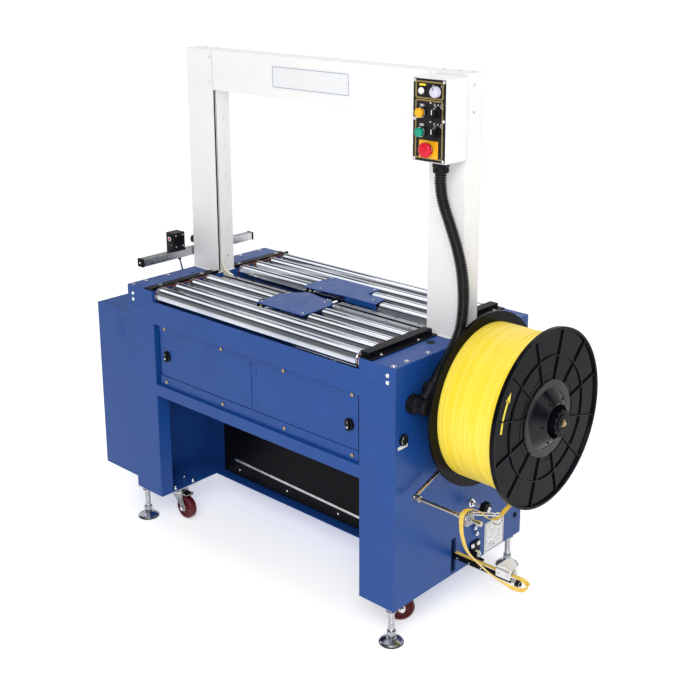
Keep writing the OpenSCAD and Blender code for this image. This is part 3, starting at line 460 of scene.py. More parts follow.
def resample(Q, step):
    L = [0]
    for a, b in zip(Q, Q[1:]):
        L.append(L[-1] + (b - a).length)
    n = max(2, int(L[-1] / step))
    out, j = [], 0
    for k in range(n + 1):
        s = L[-1] * k / n
        while j < len(L) - 2 and L[j + 1] < s:
            j += 1
        t = (s - L[j]) / max(1e-9, L[j + 1] - L[j])
        out.append(Q[j].lerp(Q[j + 1], min(1, t)))
    return out, L[-1]


X, Y, Z = (1, 0, 0), (0, 1, 0), (0, 0, 1)
NX, NY = (-1, 0, 0), (0, -1, 0)

# ------------------------------------------------------------------ corrugated conduit
route = [[500,-80,1249],[500,-80,1215],[508,-78,1170],[530,-74,1110],[553,-72,1050],[567,-68,985],[571,-66,910],[572,-80,840],[572,-120,785],[572,-165,745],[572,-189,722]]
Q, length = resample(crom(route, 24), 0.7)
radii = [14.5 + 1.45 * math.tanh(2.4 * math.sin(2 * math.pi * i * 0.7 / 7.0)) for i in range(len(Q))]
k = Kit("conduit_hose")
k.tube(Q, radii, conduit_m, 24)
hose = k.done("root", replaces=("conduit",), angle=60)

# gland nuts and elbow rings
k = Kit("conduit_collars")
k.hexn(22, 1262, 1276, (500, -80, 0), Z, black, c=1.5)
k.lathe([(16.5, 1246), (19.5, 1246.5), (20.4, 1249), (20.4, 1253), (19.2, 1256), (19.2, 1262)], (500, -80, 0), Z, black, 40)
for i in range(10):
    a = 2 * math.pi * i / 10
    k.box(-1.2, 1.2, 19, 21.2, 1249, 1260, black, Matrix.Translation((500, -80, 0)) @ Matrix.Rotation(a, 4, "Z"))
k.ring(14, 23, 1276.2, 1278, (500, -80, 0), Z, track)
k.ring(20, 26.5, 549, 553, (0, -237, 679), X, black)
k.hexn(25, 553, 566, (0, -237, 679), X, black, c=1.5)
k.lathe([(20.3, 566), (20.3, 571), (19.6, 572), (19.6, 590), (17, 594), (0, 595)], (0, -237, 679), X, black, 40)
d = Vector((0, 24, 23)).normalized()
e = Vector((572, -189, 722)) - d * 1.7
k.ring(16.4, 21.8, -13, 0, e, d, black)
for i in range(12):
    a = 2 * math.pi * i / 12
    u = d.orthogonal().normalized()
    w = d.cross(u)
    p = e + (u * math.cos(a) + w * math.sin(a)) * 21.6
    k.tube([p - d * 12, p - d * 2], 1.3, black, 8)
k.done("root", bevel=0.0, angle=40)

# ------------------------------------------------------------------ reel
coil_r, x0, x1 = 213.0, 606.15, 787.75
prof, nb = [], 14
wb = (x1 - x0) / nb
prof.append((98.3, x0))
for b in range(nb):
    r = coil_r - 1.6 + 0.18 * math.sin(b * 2.3) + (1.5 if b == 9 else 0) + (0.35 if b == 10 else 0) - (0.25 if b == 4 else 0)
    r = min(r, coil_r - 0.02)
    a = x0 + b * wb
    prof += [(r - 0.8, a + 0.06), (r - 0.12, a + 0.2), (r, a + 0.7), (r + 0.02, a + wb * 0.5), (r, a + wb - 0.7), (r - 0.12, a + wb - 0.2), (r - 0.8, a + wb - 0.06)]
prof.append((98.3, x1))
prof.append((98.3, x0))
k = Kit("wound_strap")
k.lathe(prof, (0, 0, 636), X, coil_m, 192)
k.done("reel", replaces=("strap_coil",), angle=40)

k = Kit("reel_trim")
# raised curved arrow on the outer flange
arc = lambda r, a: (r * math.cos(math.radians(a)), r * math.sin(math.radians(a)))
fx = 794.05
seg = [arc(206, a) for a in range(150, 177, 3)]
seg2 = [arc(199, a) for a in range(174, 149, -3)]
k.prism(seg + seg2, (fx, 0, 636), Y, Z, 0.5, ink_yellow)
k.prism([arc(193.5, 151), arc(211.5, 151), arc(202.5, 144)], (fx, 0, 636), Y, Z, 0.5, ink_yellow)
# moulded fillet rings and rivets on the outer flange
k.lathe([(231.6, 794.2), (232.6, 796.5), (233.4, 799.6)], (0, 0, 636), X, black_gloss, 160)
k.lathe([(90, 793.6), (96, 794.3), (100, 794.1)], (0, 0, 636), X, black_gloss, 96)
k.ring(118, 120, 793.9, 795.0, (0, 0, 636), X, black_gloss, 120, 0.3)
for i in range(12):
    a = math.radians(30 * i + 15)
    p = (0, 159 * math.cos(a + 0.05), 636 + 159 * math.sin(a + 0.05))
    k.disc(2.6, 793.9, 795.4, p, X, black_gloss, 16, 0.6)
for i in range(6):
    a = math.radians(60 * i)
    p = (0, 58 * math.cos(a), 636 + 58 * math.sin(a))
    k.disc(3.4, 815, 822.5, p, X, black_gloss, 20, 0.8)
# stepped ring and polished cone of the hub
k.lathe([(104, 793.9), (104, 796.6), (102.6, 798.2), (99, 798.6), (84, 798.7)], (0, 0, 636), X, hub_gloss, 120)
k.lathe([(84.2, 798.4), (83.2, 799.6), (52.2, 825.2), (50.6, 826.6), (48.4, 827.0), (44.6, 826.4)], (0, 0, 636), X, hub_gloss, 120)
for i in range(12):
    M = Matrix.Translation((0, 0, 636)) @ Matrix.Rotation(math.radians(30 * i + 15), 4, "X")
    k.box(818, 827.6, -2.2, 2.2, 44.2, 49.4, black_gloss, M)
# ribs and rim of the inner flange, outer side
k.ring(226, 239.5, 597.6, 600, (0, 0, 636), X, black_gloss, 160, 0.5)
for i in range(12):
    M = Matrix.Translation((0, 0, 636)) @ Matrix.Rotation(math.radians(30 * i), 4, "X")
    k.box(597.8, 600, -1.5, 1.5, 60, 227, black_gloss, M)
k.ring(44, 62, 597.4, 600, (0, 0, 636), X, black_gloss, 64, 0.5)
k.done("reel", angle=35)

k = Kit("hub_nut_trim")
k.lathe([(25, 841.4), (27.5, 841.8), (29, 841.5), (30, 841.2)], (0, 0, 636), X, black_gloss, 48)
k.ring(13.2, 17, 844.9, 846, (0, 0, 636), X, black_gloss, 40)
for i in range(12):
    a = math.radians(30 * i + 15)
    p = (0, 27.5 * math.cos(a), 636 + 27.5 * math.sin(a))
    k.disc(1.5, 841.2, 842.6, p, X, black_gloss, 12, 0.3)
k.done("reel_nut")

k = Kit("reel_shaft_trim")
k.ring(5.2, 8.5, 846.0, 847.3, (0, 0, 636), X, brass, 32, 0.3)
k.hexn(12.6, 836.3, 843, (0, 0, 636), X, brass, c=0.8)
for i in range(9):
    k.ring(4.6, 5.6, 847.6 + i * 0.26, 847.8 + i * 0.26, (0, 0, 636), X, brass, 24, 0.05)
k.ring(21, 40, 551, 553.5, (0, 0, 636), X, steel_zinc, 64, 0.6)
for i in range(4):
    a = math.radians(45 + 90 * i)
    k.ring(6.2, 8.2, 551, 552.2, (0, 34 * math.cos(a), 636 + 34 * math.sin(a)), X, chrome, 28)
k.done("root")

# ------------------------------------------------------------------ control panel
k = Kit("panel_graphics")
O = (0, -124, 0)
for (a, b, c, d2) in ((450.5, 537.5, 1437, 1480), (450.5, 537.5, 1287, 1434)):
    k.frame(a, b, c, d2, 6, 1.1, O, X, Z, 0.22, gold)
    k.frame(a + 2.4, b - 2.4, c + 2.4, d2 - 2.4, 4.5, 0.55, O, X, Z, 0.22, gold)
# caption strip and marks beside the switches
k.prism(rr(462, 482, 1468.5, 1473.5, 1.2), O, X, Z, 0.3, ink_yellow)
k.frame(503.5, 508, 1466.5, 1472.5, 2.1, 0.8, O, X, Z, 0.25, ink_white)
k.box(530.5, 531.7, -124.25, -124, 1466.5, 1472.5, ink_white)
for x, z in ((471, 1402), (471, 1353)):
    k.frame(x - 6.5, x + 6.5, z + 15, z + 21, 1.2, 0.7, O, X, Z, 0.25, ink_white)
    k.prism([(x - 3, z + 16.5), (x + 1, z + 16.5), (x + 1, z + 15.6), (x + 3.6, z + 18), (x + 1, z + 20.3), (x + 1, z + 19.4), (x - 3, z + 19.4)], O, X, Z, 0.3, ink_white)
for x, z in ((522, 1404), (522, 1356)):
    # sweep arrows and end marks round a selector
    for sgn in (-1, 1):
        pts = [(x + sgn * 17.5 * math.cos(math.radians(a)), z + 17.5 * math.sin(math.radians(a))) for a in range(34, 71, 6)]
        pin = [(x + sgn * 16.6 * math.cos(math.radians(a)), z + 16.6 * math.sin(math.radians(a))) for a in range(70, 33, -6)]
        k.prism(pts + pin, O, X, Z, 0.3, ink_white)
    k.prism([(x - 2.2, z + 18.5), (x + 2.2, z + 18.5), (x, z + 23)], O, X, Z, 0.3, ink_white)
    k.frame(x - 13.5, x - 8.5, z + 17.5, z + 22.5, 0.8, 0.7, O, X, Z, 0.3, ink_white)
    k.frame(x + 8.5, x + 13, z + 17.5, z + 22.5, 2.1, 0.7, O, X, Z, 0.3, ink_white)
for x, z, c in ((452.9, 1386, ink_white), (496, 1379, ink_white), (496, 1426, ink_white)):
    k.prism(rr(x, x + 4.5, z, z + 3.2, 0.8), O, X, Z, 0.3, c)
# yellow plate behind the stop button
k.prism(rr(464, 524, 1289, 1333.5, 2.5), O, X, Z, 0.8, amber)
k.done("root")

k = Kit("panel_hardware")
for p in ((520, 1457), (471, 1402), (522, 1404), (471, 1353), (522, 1356)):
    k.ring(9.6, 12.9, 128.6, 129.25, (p[0], 0, p[1]), NY, chrome if p[0] < 480 else black, 40, 0.2)
    for i in range(20):
        a = math.radians(18 * i)
        k.disc(0.55, 124, 128.4, (p[0] + 12.6 * math.cos(a), 0, p[1] + 12.6 * math.sin(a)), NY, black, 8, 0.1)
k.lathe([(8.2, 124), (8.6, 128.4), (7.9, 129.4), (7.4, 129.6), (7.2, 131), (5.8, 133), (3, 134.3), (0, 134.6)], (471, 0, 1456), NY, white_plastic, 40)
k.ring(8.2, 10.4, 124, 126.6, (471, 0, 1456), NY, black, 40)
for x in (448, 540):
    for z in (1285, 1385, 1481):
        k.ring(2.5, 4.2, 124, 124.5, (x, 0, z), NY, chrome, 24, 0.15)
k.ring(8.6, 13.6, 127, 128.2, (494, 0, 1311), NY, chrome, 40)
# folded lip of the box round the face plate
k.frame(441.3, 546.7, 1278.3, 1487.7, 2, 1.6, (0, -122, 0), X, Z, 0.9, white)
k.done("root", bevel=0.0)

k = Kit("power_dial")
k.lathe([(9, 115), (9, 129.3), (14, 129.3), (14.2, 130), (14.2, 133.2), (13.6, 134), (13.4, 139.5), (12.6, 141.9), (10.2, 143.7), (6, 144.8), (0, 145.1)], (520, 0, 1457), NY, lilac, 56)
for i in range(24):
    a = math.radians(15 * i)
    k.tube([(520 + 13.5 * math.cos(a), -134, 1457 + 13.5 * math.sin(a)), (520 + 13.4 * math.cos(a), -139.5, 1457 + 13.4 * math.sin(a))], 0.5, lilac, 8)
k.box(519.2, 520.8, -145.3, -144.2, 1462, 1469, black_print_and_slot_shade)
k.done("power_knob", replaces=("power_knob",))

for nm, p in (("selector_upper", (522, 1404)), ("selector_lower", (522, 1356))):
    k = Kit(nm + "_pointer")
    k.prism([(p[0] - 1.1, p[1] - 1), (p[0] + 1.1, p[1] - 1), (p[0] + 1.1, p[1] + 10.5), (p[0] - 1.1, p[1] + 10.5)], (0, -150.3, 0), X, Z, 0.35, ink_white)
    k.box(p[0] - 1.0, p[0] + 1.0, -150, -134, p[1] + 11.3, p[1] + 11.75, ink_white)
    for s in (-1, 1):
        for j in range(6):
            k.box(p[0] + s * 4.15 - 0.3, p[0] + s * 4.15 + 0.3, -149, -136, p[1] - 9 + j * 3.4, p[1] - 7.6 + j * 3.4, black)
    k.lathe([(11.5, 129.5), (12, 130), (12, 132.8), (11.4, 133.5), (4, 133.8)], (p[0], 0, p[1]), NY, black, 40)
    k.done(nm)
for nm, p, m in (("yellow_button", (471, 1402), amber), ("green_button", (471, 1353), green_p)):
    k = Kit(nm + "_cap")
    k.lathe([(11.8, 134), (11.8, 138.6), (11.1, 139.8), (9.6, 140.3), (5, 140.6), (0, 140.7)], (p[0], 0, p[1]), NY, m, 48)
    k.done(nm)
k = Kit("stop_cap")
k.lathe([(17, 134.2), (19.2, 135.8), (19.3, 141), (18.2, 143.2), (15.5, 144.9), (10, 146.6), (5, 147.1), (0, 147.2)], (494, 0, 1311), NY, red_p, 56)
k.done("estop_button")

# ------------------------------------------------------------------ arch
k = Kit("arch_trim")
# blank nameplate on the beam
k.prism(rr(-161, 144, 1401, 1467, 5), (0, -33, 0), X, Z, 0.9, label)
k.frame(-157.5, 140.5, 1404.5, 1463.5, 4, 1.1, (0, -33.9, 0), X, Z, 0.25, blue)
for x, z in ((-152, 1434), (135, 1434)):
    k.disc(2.4, 33.9, 35.1, (x, 0, z), NY, chrome, 20, 0.5)
# seams where the columns meet the beam, and thin black strips on the columns' inner faces as painted shade of the gaps
# beside the track
for s in (-1, 1):
    k.box(s * 425 - 0.5, s * 425 + 0.5, -33.35, -33, 1375, 1493, track)
    xx = s * 424.6
    # thin black strips: painted shade of the gaps at the edges of the track slot
    for y in (-30.3, -22.2):
        k.box(min(xx, xx - s * 0.5), max(xx, xx - s * 0.5), y - 0.5, y + 0.5, 800, 1372, black_satin)
    k.box(min(xx, xx - s * 1.0), max(xx, xx - s * 1.0), -21.6, 12, 800, 1372, white)
    for z in range(840, 1370, 88):
        k.disc(3.2, 0, 1.4, (s * 423.9, 6, z), (-s, 0, 0), chrome, 18, 0.4)
    # foot flange of each column
    k.frame(min(s * 421, s * 547), max(s * 421, s * 547), -37, 37, 2, 3.6, (0, 0, 790.2), X, Y, 1.4, white)
for x in (-380, -190, 0, 190, 380):
    k.disc(3.2, 0, 1.4, (x, 10, 1373), (0, 0, -1), chrome, 18, 0.4)
k.box(-420, 420, -21.6, 16, 1371.8, 1373, white)
k.done("root")

# ------------------------------------------------------------------ rollers
ys = [-272, -210, -148, -86, 64, 126, 188, 250]
split = [(0, 0), (0, 0), (-103, 103), (-101, 98), (-108, 184), (-104, 101), (0, 0), (0, 0)]
for i, (y, sp) in enumerate(zip(ys, split)):
    k = Kit("roller_%d_ends" % (i + 1))
    ends = [(-415, -1, 0), (415, 1, 0)]
    if sp[1]:
        ends += [(sp[0], 1, 1), (sp[1], -1, 1)]
    for x, s, inner in ends:
        o = (x, y, 774)
        a = (s, 0, 0)
        k.lathe([(9.2, -1.6), (9.8, -0.4), (16, -0.9), (20.8, -0.3), (22.3, -0.6), (22.3, -1.8)], o, a, black, 48)
        k.lathe([(5.2, -1.8), (5.4, -0.2), (9.0, 0.1), (9.4, -0.5), (9.4, -1.8)], o, a, ink_yellow if inner else chrome, 36)
        k.ring(22.5, 24.6, -0.6, 0.05, o, a, roller_m, 64, 0.25)
        if inner:
            k.ring(5.1, 7.6, -0.2, 2.2, o, a, chrome, 32)
        else:
            k.ring(5.1, 7.2, -0.2, 1.5, o, a, chrome, 32)
    k.done("roller_%d" % (i + 1))

# small joints in the round belts
k = Kit("belt_joints")
for s in (-1, 1):
    for a, b, g in ((0, 1, 411), (1, 2, 405.5), (2, 3, 411), (4, 5, 411), (5, 6, 405.5), (6, 7, 411)):
        ym = (ys[a] + ys[b]) / 2
        for zz in (774 + 23, 774 - 23):
            k.tube([(s * g, ym - 6, zz), (s * g, ym + 6, zz)], [2.05, 2.05], belt_red, 16)
            k.ring(1.5, 2.2, -0.4, 0.4, (s * g, ym, zz), Y, black, 20, 0.1)
k.done("root")

# ------------------------------------------------------------------ strap band, in lengths between its guides
SP = [[752,30,423.6],[750,0,421.3],[746,-40,414],[740,-80,396],[733,-112,377],[731,-150,388],[731,-195,428],[731,-238,449],[731,-262,446],[731,-268,425],[731,-262,385],[731,-240,335],[733,-200,288],[738,-150,235],[748,-95,185],[762,-64,160],[773,-40,150],[774,-22,154],[768,-26,166],[747,-37,177],[716,-40,177.4],[660,-40,177.2],[600,-40,176],[566,-40,176.5],[548,-40,176.5]]
SW = [[1,0,0]] * 13 + [[1,0,.1],[.9,.2,.5],[.5,.3,.9],[.1,.2,1],[0,0,1],[-.1,.6,.7],[0,1,.1],[0,1,0],[0,1,0],[0,1,0],[0,1,0],[0,1,0]]
NS = 12
SQ, WQ = crom(SP, NS), crom(SW, NS)
strap_len = sum((b - a).length for a, b in zip(SQ, SQ[1:]))


def strap_piece(name, i0, i1):
    k = Kit(name)
    v, f = [], []
    # a flat band with slightly rounded edges
    sec = [(-6.5, -0.25), (-6.2, -0.5), (0, -0.55), (6.2, -0.5), (6.5, -0.25), (6.5, 0.25), (6.2, 0.5), (0, 0.42), (-6.2, 0.5), (-6.5, 0.25)]
    idx = list(range(i0 * NS, i1 * NS + 1))
    for i in idx:
        t = (SQ[min(i + 1, len(SQ) - 1)] - SQ[max(i - 1, 0)]).normalized()
        u = WQ[i]
        u = (u - t * u.dot(t)).normalized()
        w = t.cross(u)
        v += [SQ[i] + u * p + w * q for p, q in sec]
    n = len(sec)
    for r in range(len(idx) - 1):
        f += [(r * n + j, (r + 1) * n + j, (r + 1) * n + (j + 1) % n, r * n + (j + 1) % n) for j in range(n)]
    f += [tuple(range(n)), tuple((len(idx) - 1) * n + j for j in reversed(range(n)))]
    k.add(v, f, strap_m)
    o = k.done(None, ride=False, angle=50)
    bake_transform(o)
    return o


s1 = strap_piece("strap_from_reel", 0, 4)
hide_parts("strap_lead")
strap_piece("strap_through_eye", 4, 13)
strap_piece("strap_to_guide", 13, 17)
strap_piece("strap_to_inlet", 17, 24)

# ------------------------------------------------------------------ brake arm and dancer arm details
k = Kit("brake_arm_trim")
k.hexn(9.5, 578, 578, (0, 15, 527), X, chrome)
k.lathe([(13.2, 574), (13.2, 573.9)], (0, 15, 527), X, brown_zinc, 32)
for x in (704, 750):
    k.ring(5.1, 6.3, -1.2, 1.2, (x, -248, 429), X, chrome, 32, 0.3)
k.disc(3.2, 14, 16.5, (726, -248, 429), (0, 0, 1), chrome, 20, 0.5)
k.disc(3.2, 14, 16.5, (738, -248, 429), (0, 0, 1), chrome, 20, 0.5)
k.disc(3.0, 14, 16.2, (725, -248, 423), NY, chrome, 20, 0.5)
k.disc(3.0, 14, 16.2, (739, -248, 435), NY, chrome, 20, 0.5)
k.ring(14.2, 16.8, -1.9, 1.9, (732, -112, 373), (0, math.sin(math.radians(-68)), math.cos(math.radians(68))), chrome, 48, 1.0)
k.done("brake_arm")

k = Kit("dancer_guide")
# tall curved tab that keeps the band on the guide
pts = [(696.4 + 43.2 * t / 10, 200 + 16 * math.sin(math.pi * t / 10)) for t in range(11)]
poly = [(696.4, 186)] + pts + [(739.6, 186)]
k.prism(poly, (0, -22, 0), X, Z, 1.9, white_plastic)
k.prism([(x, 200 + (z - 200) * 0.45) for x, z in poly], (0, -58.1, 0), X, Z, 1.9, white_plastic)
for x in (704, 732):
    k.disc(3.2, 0, 1.6, (x, -60, 180), NY, chrome, 20, 0.5)
k.ring(6.2, 11, 752, 754, (0, -46, 166), X, chrome, 40)
k.hexn(9.4, 755, 763, (0, -46, 166), X, black, c=0.8)
k.disc(5.8, 766, 768, (0, -46, 166), X, black, 24, 0.8)
for x in (560, 600, 640):
    k.disc(2.6, 0, 1.6, (x, -50, 166), NY, chrome, 18, 0.4)
k.done("dancer_arm", bevel=0.25)

# ------------------------------------------------------------------ tension knob
k = Kit("tension_knob_cap")
k.lathe([(13, 597.6), (12.4, 599.4), (9, 600.4), (4.6, 600.6)], (0, 33, 296), X, black, 40)
for i in range(6):
    a = math.radians(60 * i)
    k.lathe([(5.2, 597.8), (4.2, 599.0), (0, 599.4)], (0, 33 + 14 * math.cos(a), 296 + 14 * math.sin(a)), X, black, 24)
k.lathe([(7, 576), (8.5, 578), (8.5, 582.3)], (0, 33, 296), X, black, 32)
k.done("tension_knob")

# ------------------------------------------------------------------ side of the right leg
k = Kit("side_trim")
k.hexn(8.6, 601, 604, (0, 33, 296), X, chrome, c=0.6)
for i in range(18):
    k.ring(3.7, 4.25, 552 + i * 1.25, 552.6 + i * 1.25, (0, 33, 296), X, chrome, 20, 0.12)
k.ring(4.3, 12, 543, 544.2, (0, 33, 296), X, chrome, 32)
# instruction plate: border and a plain line diagram of the strap path
F = (544, 0, 0)
k.frame(102.5, 190.5, 111.5, 200.5, 3, 1.0, F, Y, Z, 0.18, black_print_and_slot_shade)
k.frame(105, 188, 114, 198, 2, 0.5, F, Y, Z, 0.18, black_print_and_slot_shade)
k.frame(110, 150, 150, 192, 18, 0.8, F, Y, Z, 0.2, black_print_and_slot_shade)
k.frame(122, 138, 163, 179, 7.9, 0.8, F, Y, Z, 0.2, black_print_and_slot_shade)
k.frame(156, 183, 176, 192, 1.5, 0.7, F, Y, Z, 0.2, black_print_and_slot_shade)
for j, (a, b, c, d2) in enumerate(((112, 112.8, 122, 150), (112, 150, 122, 122.8), (150, 150.8, 122, 140), (150, 176, 139.4, 140.2), (175.2, 176, 140, 176), (120, 146, 131, 131.6), (120, 140, 135, 135.6), (160, 180, 126, 126.6), (160, 174, 130, 130.6))):
    k.box(544, 544.2, a, b, c, d2, black_print_and_slot_shade)
for y, z in ((126, 127), (136, 127), (166, 146), (166, 160)):
    k.frame(y - 3.4, y + 3.4, z - 3.4, z + 3.4, 3.3, 0.6, F, Y, Z, 0.2, black_print_and_slot_shade)
k.prism([(144, 119), (150, 122.4), (144, 125.8)], F, Y, Z, 0.25, black_print_and_slot_shade)
for y in (103.5, 189.5):
    for z in (112, 200):
        k.disc(1.9, 544, 545.2, (0, y, z), X, chrome, 18, 0.4)
for y in (-287.6, -254.4):
    k.disc(1.4, 544, 544.8, (0, y, 570.2), X, chrome, 14, 0.3)
# strap inlet: slot lips, bolts and a guide roller
for y, z in ((36, 118), (62, 118), (36, 162), (62, 162)):
    k.hexn(5.4, 549, 552.6, (0, y, z), X, chrome, c=0.4)
    k.ring(5.4, 7.2, 549, 549.8, (0, y, z), X, chrome, 28)
k.lathe([(0, 549), (3.6, 549), (3.6, 566), (0, 567)], (0, 50, 138), X, chrome, 24)
k.ring(3.8, 8, 550, 562, (0, 50, 138), X, cream, 36, 0.8)
k.frame(-55.5, -36.5, 116.5, 217.5, 3, 2.2, (543, 0, 0), Y, Z, 1.2, black_satin)
for y, z in ((47, 215), (55, 194)):
    k.ring(3.6, 6.2, 550, 550.6, (0, y, z), X, chrome, 28, 0.2)
    k.disc(3.4, 550, 553.6, (0, y, z), X, chrome, 24, 0.5)
# side button bezel
k.ring(9.4, 12.6, 549, 551, (0, -270, 590), X, chrome, 40)
# grommet of a lead
k.ring(6.2, 9.4, 543, 544.4, (0, 251, 173), X, rubber, 32)
k.done("root")

k = Kit("side_button_cap")
k.lathe([(9.1, 551), (9.1, 553.2), (8.2, 554.2), (5, 554.6), (0, 554.7)], (0, -270, 590), X, black, 40)
k.done("side_button")

# ------------------------------------------------------------------ doors, latches, access strips
for s, nm in ((-1, "left"), (1, "right")):
    k = Kit(nm + "_door_trim")
    for z in (545, 645):
        k.tube([(s * 2.6, -290.2, z - 16), (s * 2.6, -290.2, z + 16)], 2.0, blue, 16)
        k.box(min(s * 3, s * 22), max(s * 3, s * 22), -290.6, -290, z - 15, z + 15, blue)
    k.ring(13.6, 17.5, 290, 291.4, (s * 377, 0, 590), NY, black, 48)
    k.done(nm + "_door", bevel=0.15)
    k = Kit(nm + "_latch_trim")
    k.lathe([(13, 293.6), (12.6, 295), (10.5, 295.6), (9.2, 294.6), (8.8, 294.2)], (s * 377, 0, 590), NY, black, 48)
    k.disc(3.2, 299.4, 300.8, (s * 377, 0, 584), NY, steel_zinc, 24, 0.4)
    k.box(s * 377 - 0.8, s * 377 + 0.8, -300.4, -299.9, 595, 600, steel_zinc)
    k.done(nm + "_latch")

k = Kit("front_trim")
# washers under the screws, seam shadow strips and folded edges
for x in (-381, -123, 134, 389):
    for z in (677, 506):
        k.ring(5, 6.2, 292, 292.5, (x, 0, z), NY, blue_dark, 28, 0.15)
for s in (-1, 1):
    for z in (766, 747):
        k.ring(4, 5.8, 302, 302.6, (s * 517, 0, z), NY, chrome, 24, 0.2)
# weld beads and folded lips of the front rail
k.tube([(-421, -301.2, 757), (421, -301.2, 757)], 1.1, blue, 12)
k.tube([(-421, -301.2, 687.6), (421, -301.2, 687.6)], 1.1, blue, 12)
k.tube([(-421, -301.2, 489.4), (421, -301.2, 489.4)], 1.0, blue, 12)
k.tube([(-421, -301.2, 454.6), (421, -301.2, 454.6)], 1.0, blue, 12)
k.box(-1.0, 1.0, -286.4, -283, 523.4, 666.6, rubber)
# seam gasket under the caps
for s in (-1, 1):
    a, b = (422.6, 542.4) if s > 0 else (-542.4, -422.6)
    k.frame(a, b, -301.4, 279.4, 1, 2.2, (0, 0, 730), X, Y, 0.6, rubber)
k.done("root")

# ------------------------------------------------------------------ cabinet
k = Kit("cabinet_trim")
k.band([(p[0], p[1]) for p in rr(-297, 135, 146, 692, 6)], [(p[0], p[1]) for p in rr(-295.4, 133.4, 147.6, 690.4, 5)], (-707.6, 0, 0), Y, Z, 0.6, blue)
for y in (-285, 120):
    for z in (160, 678):
        k.ring(4.8, 7, 707, 707.7, (0, y, z), NX, chrome, 28, 0.2)
for z in (300, 540):
    k.tube([(-705, 141.2, z - 24), (-705, 141.2, z + 24)], 2.6, blue, 16)
k.ring(5, 12, 707, 709.3, (0, -270, 420), NX, chrome, 40)
k.box(-709.4, -708.9, -271, -269, 414, 426, black)
# cooling slots with lips on the front face
for j in range(8):
    z = 610 + j * 8
    k.tube([(-600, -302.2, z), (-575, -302.2, z)], 1.3, blue_dark, 10)
# corner seam and cable gland below
k.tube([(-543.6, -301.6, 142), (-543.6, -301.6, 696)], 0.8, blue_dark, 10)
k.lathe([(0, 141), (12, 141), (12, 133), (9, 131), (9, 127), (4, 126), (0, 126)], (-620, -120, 0), Z, black, 32)
k.done("root")

# ------------------------------------------------------------------ table: caps, head, tracks
k = Kit("head_trim")
for x in (-38, -22):
    for y in (-14, 6):
        k.disc(3.0, 786, 787.6, (x, y, 0), Z, chrome, 20, 0.4)
for x in (18, 30):
    for y in (-14, 6):
        k.disc(3.0, 786, 787.6, (x, y, 0), Z, chrome, 20, 0.4)
for i in range(9):
    k.box(-13.6, 9.6, -18.4 + i * 3.4, -17.0 + i * 3.4, 784, 785.2, chrome)
k.disc(6, -24.5, 18, (44, 0, 781), Y, chrome, 32, 0.8)
k.disc(8.5, -26, -20, (44, 0, 781), Y, black, 32, 0.8)
k.disc(4.2, -28, 20, (-52, 0, 782), Y, chrome, 28, 0.6)
k.ring(4.3, 8, -24, -18, (-52, 0, 782), Y, cast, 28, 0.6)
k.box(-49, -45, -30, -24, 772, 789, black_satin)
k.box(37, 40, -30, 18, 772, 788, black_satin)
k.box(53, 66, -28, 24, 768, 779, cast)
k.box(-74, -61, -24, 20, 768, 778, cast)
for x in (-67, 60):
    for y in (-16, 12):
        k.hexn(3.4, 779, 782.6, (x, y, 0), Z, chrome, c=0.3)
# spring of the gripper
k.tube([(15 + 21 * t / 120, -27 + 2.6 * math.cos(t * 2 * math.pi / 10), 778 + 2.6 * math.sin(t * 2 * math.pi / 10)) for t in range(121)], 0.55, chrome, 8)
# motor fins, and two discs with nuts inside the head
for i in range(11):
    k.ring(18.2, 20.4, -0.9, 0.9, (-232 + i * 11, -14, 645), X, cast, 40, 0.3)
for x in (75, -85):
    k.ring(6, 22, -33.6, -31, (x, 0, 640), Y, steel_zinc, 40, 0.6)
    k.hexn(6, 33.6, 37, (x, 0, 640), NY, chrome, c=0.4)
k.done("root", bevel=0.35)

k = Kit("table_trim")
# slot walls, rivets and centre line of the strap channels
for a, b, y0, y1, yc in ((-404, -99, -45, -3, -24), (57, 398, -25, 30, 2)):
    k.tube([(a, y0 + 2.4, 781.2), (b, y0 + 2.4, 781.2)], 0.9, chrome, 10)
    k.tube([(a, y1 - 2.4, 781.2), (b, y1 - 2.4, 781.2)], 0.9, chrome, 10)
    k.box(a, b, yc - 5.7, yc - 4.7, 777.2, 781.3, black_satin)
    k.box(a, b, yc + 4.7, yc + 5.7, 777.2, 781.3, black_satin)
    for j in range(4):
        x = a + (b - a) * (0.12 + 0.25 * j)
        k.disc(2.6, 781, 782.2, (x, y0 + 6.5, 0), Z, black, 18, 0.3)
        k.disc(2.6, 781, 782.2, (x, y1 - 6.5, 0), Z, black, 18, 0.3)
# screws of the centre plates
for p in ((-84, -165), (84, -165), (-82, -60), (60, -50), (-90, 140), (85, 140), (-45, 40), (150, 60)):
    k.disc(3.6, 799.5, 801.0, (p[0], p[1], 0), Z, chrome, 24, 0.6)
    k.ring(3.6, 4.6, 799.5, 799.75, (p[0], p[1], 0), Z, black_satin, 24, 0.05)
# folded edges of the centre plates
for P in ([[-90,-179],[-96,-112],[-96,-68],[-68,-34],[-46,-9],[78,-34],[89,-59],[94,-115],[96,-179]], [[-103,24],[-102,101],[-98,155],[95,155],[96,94],[168,92],[179,36],[69,36],[-59,24]]):
    L = [Vector((p[0], p[1], 798)) for p in P]
    for a, b in zip(L, L[1:] + L[:1]):
        k.tube([a, b], 1.3, blue, 10)
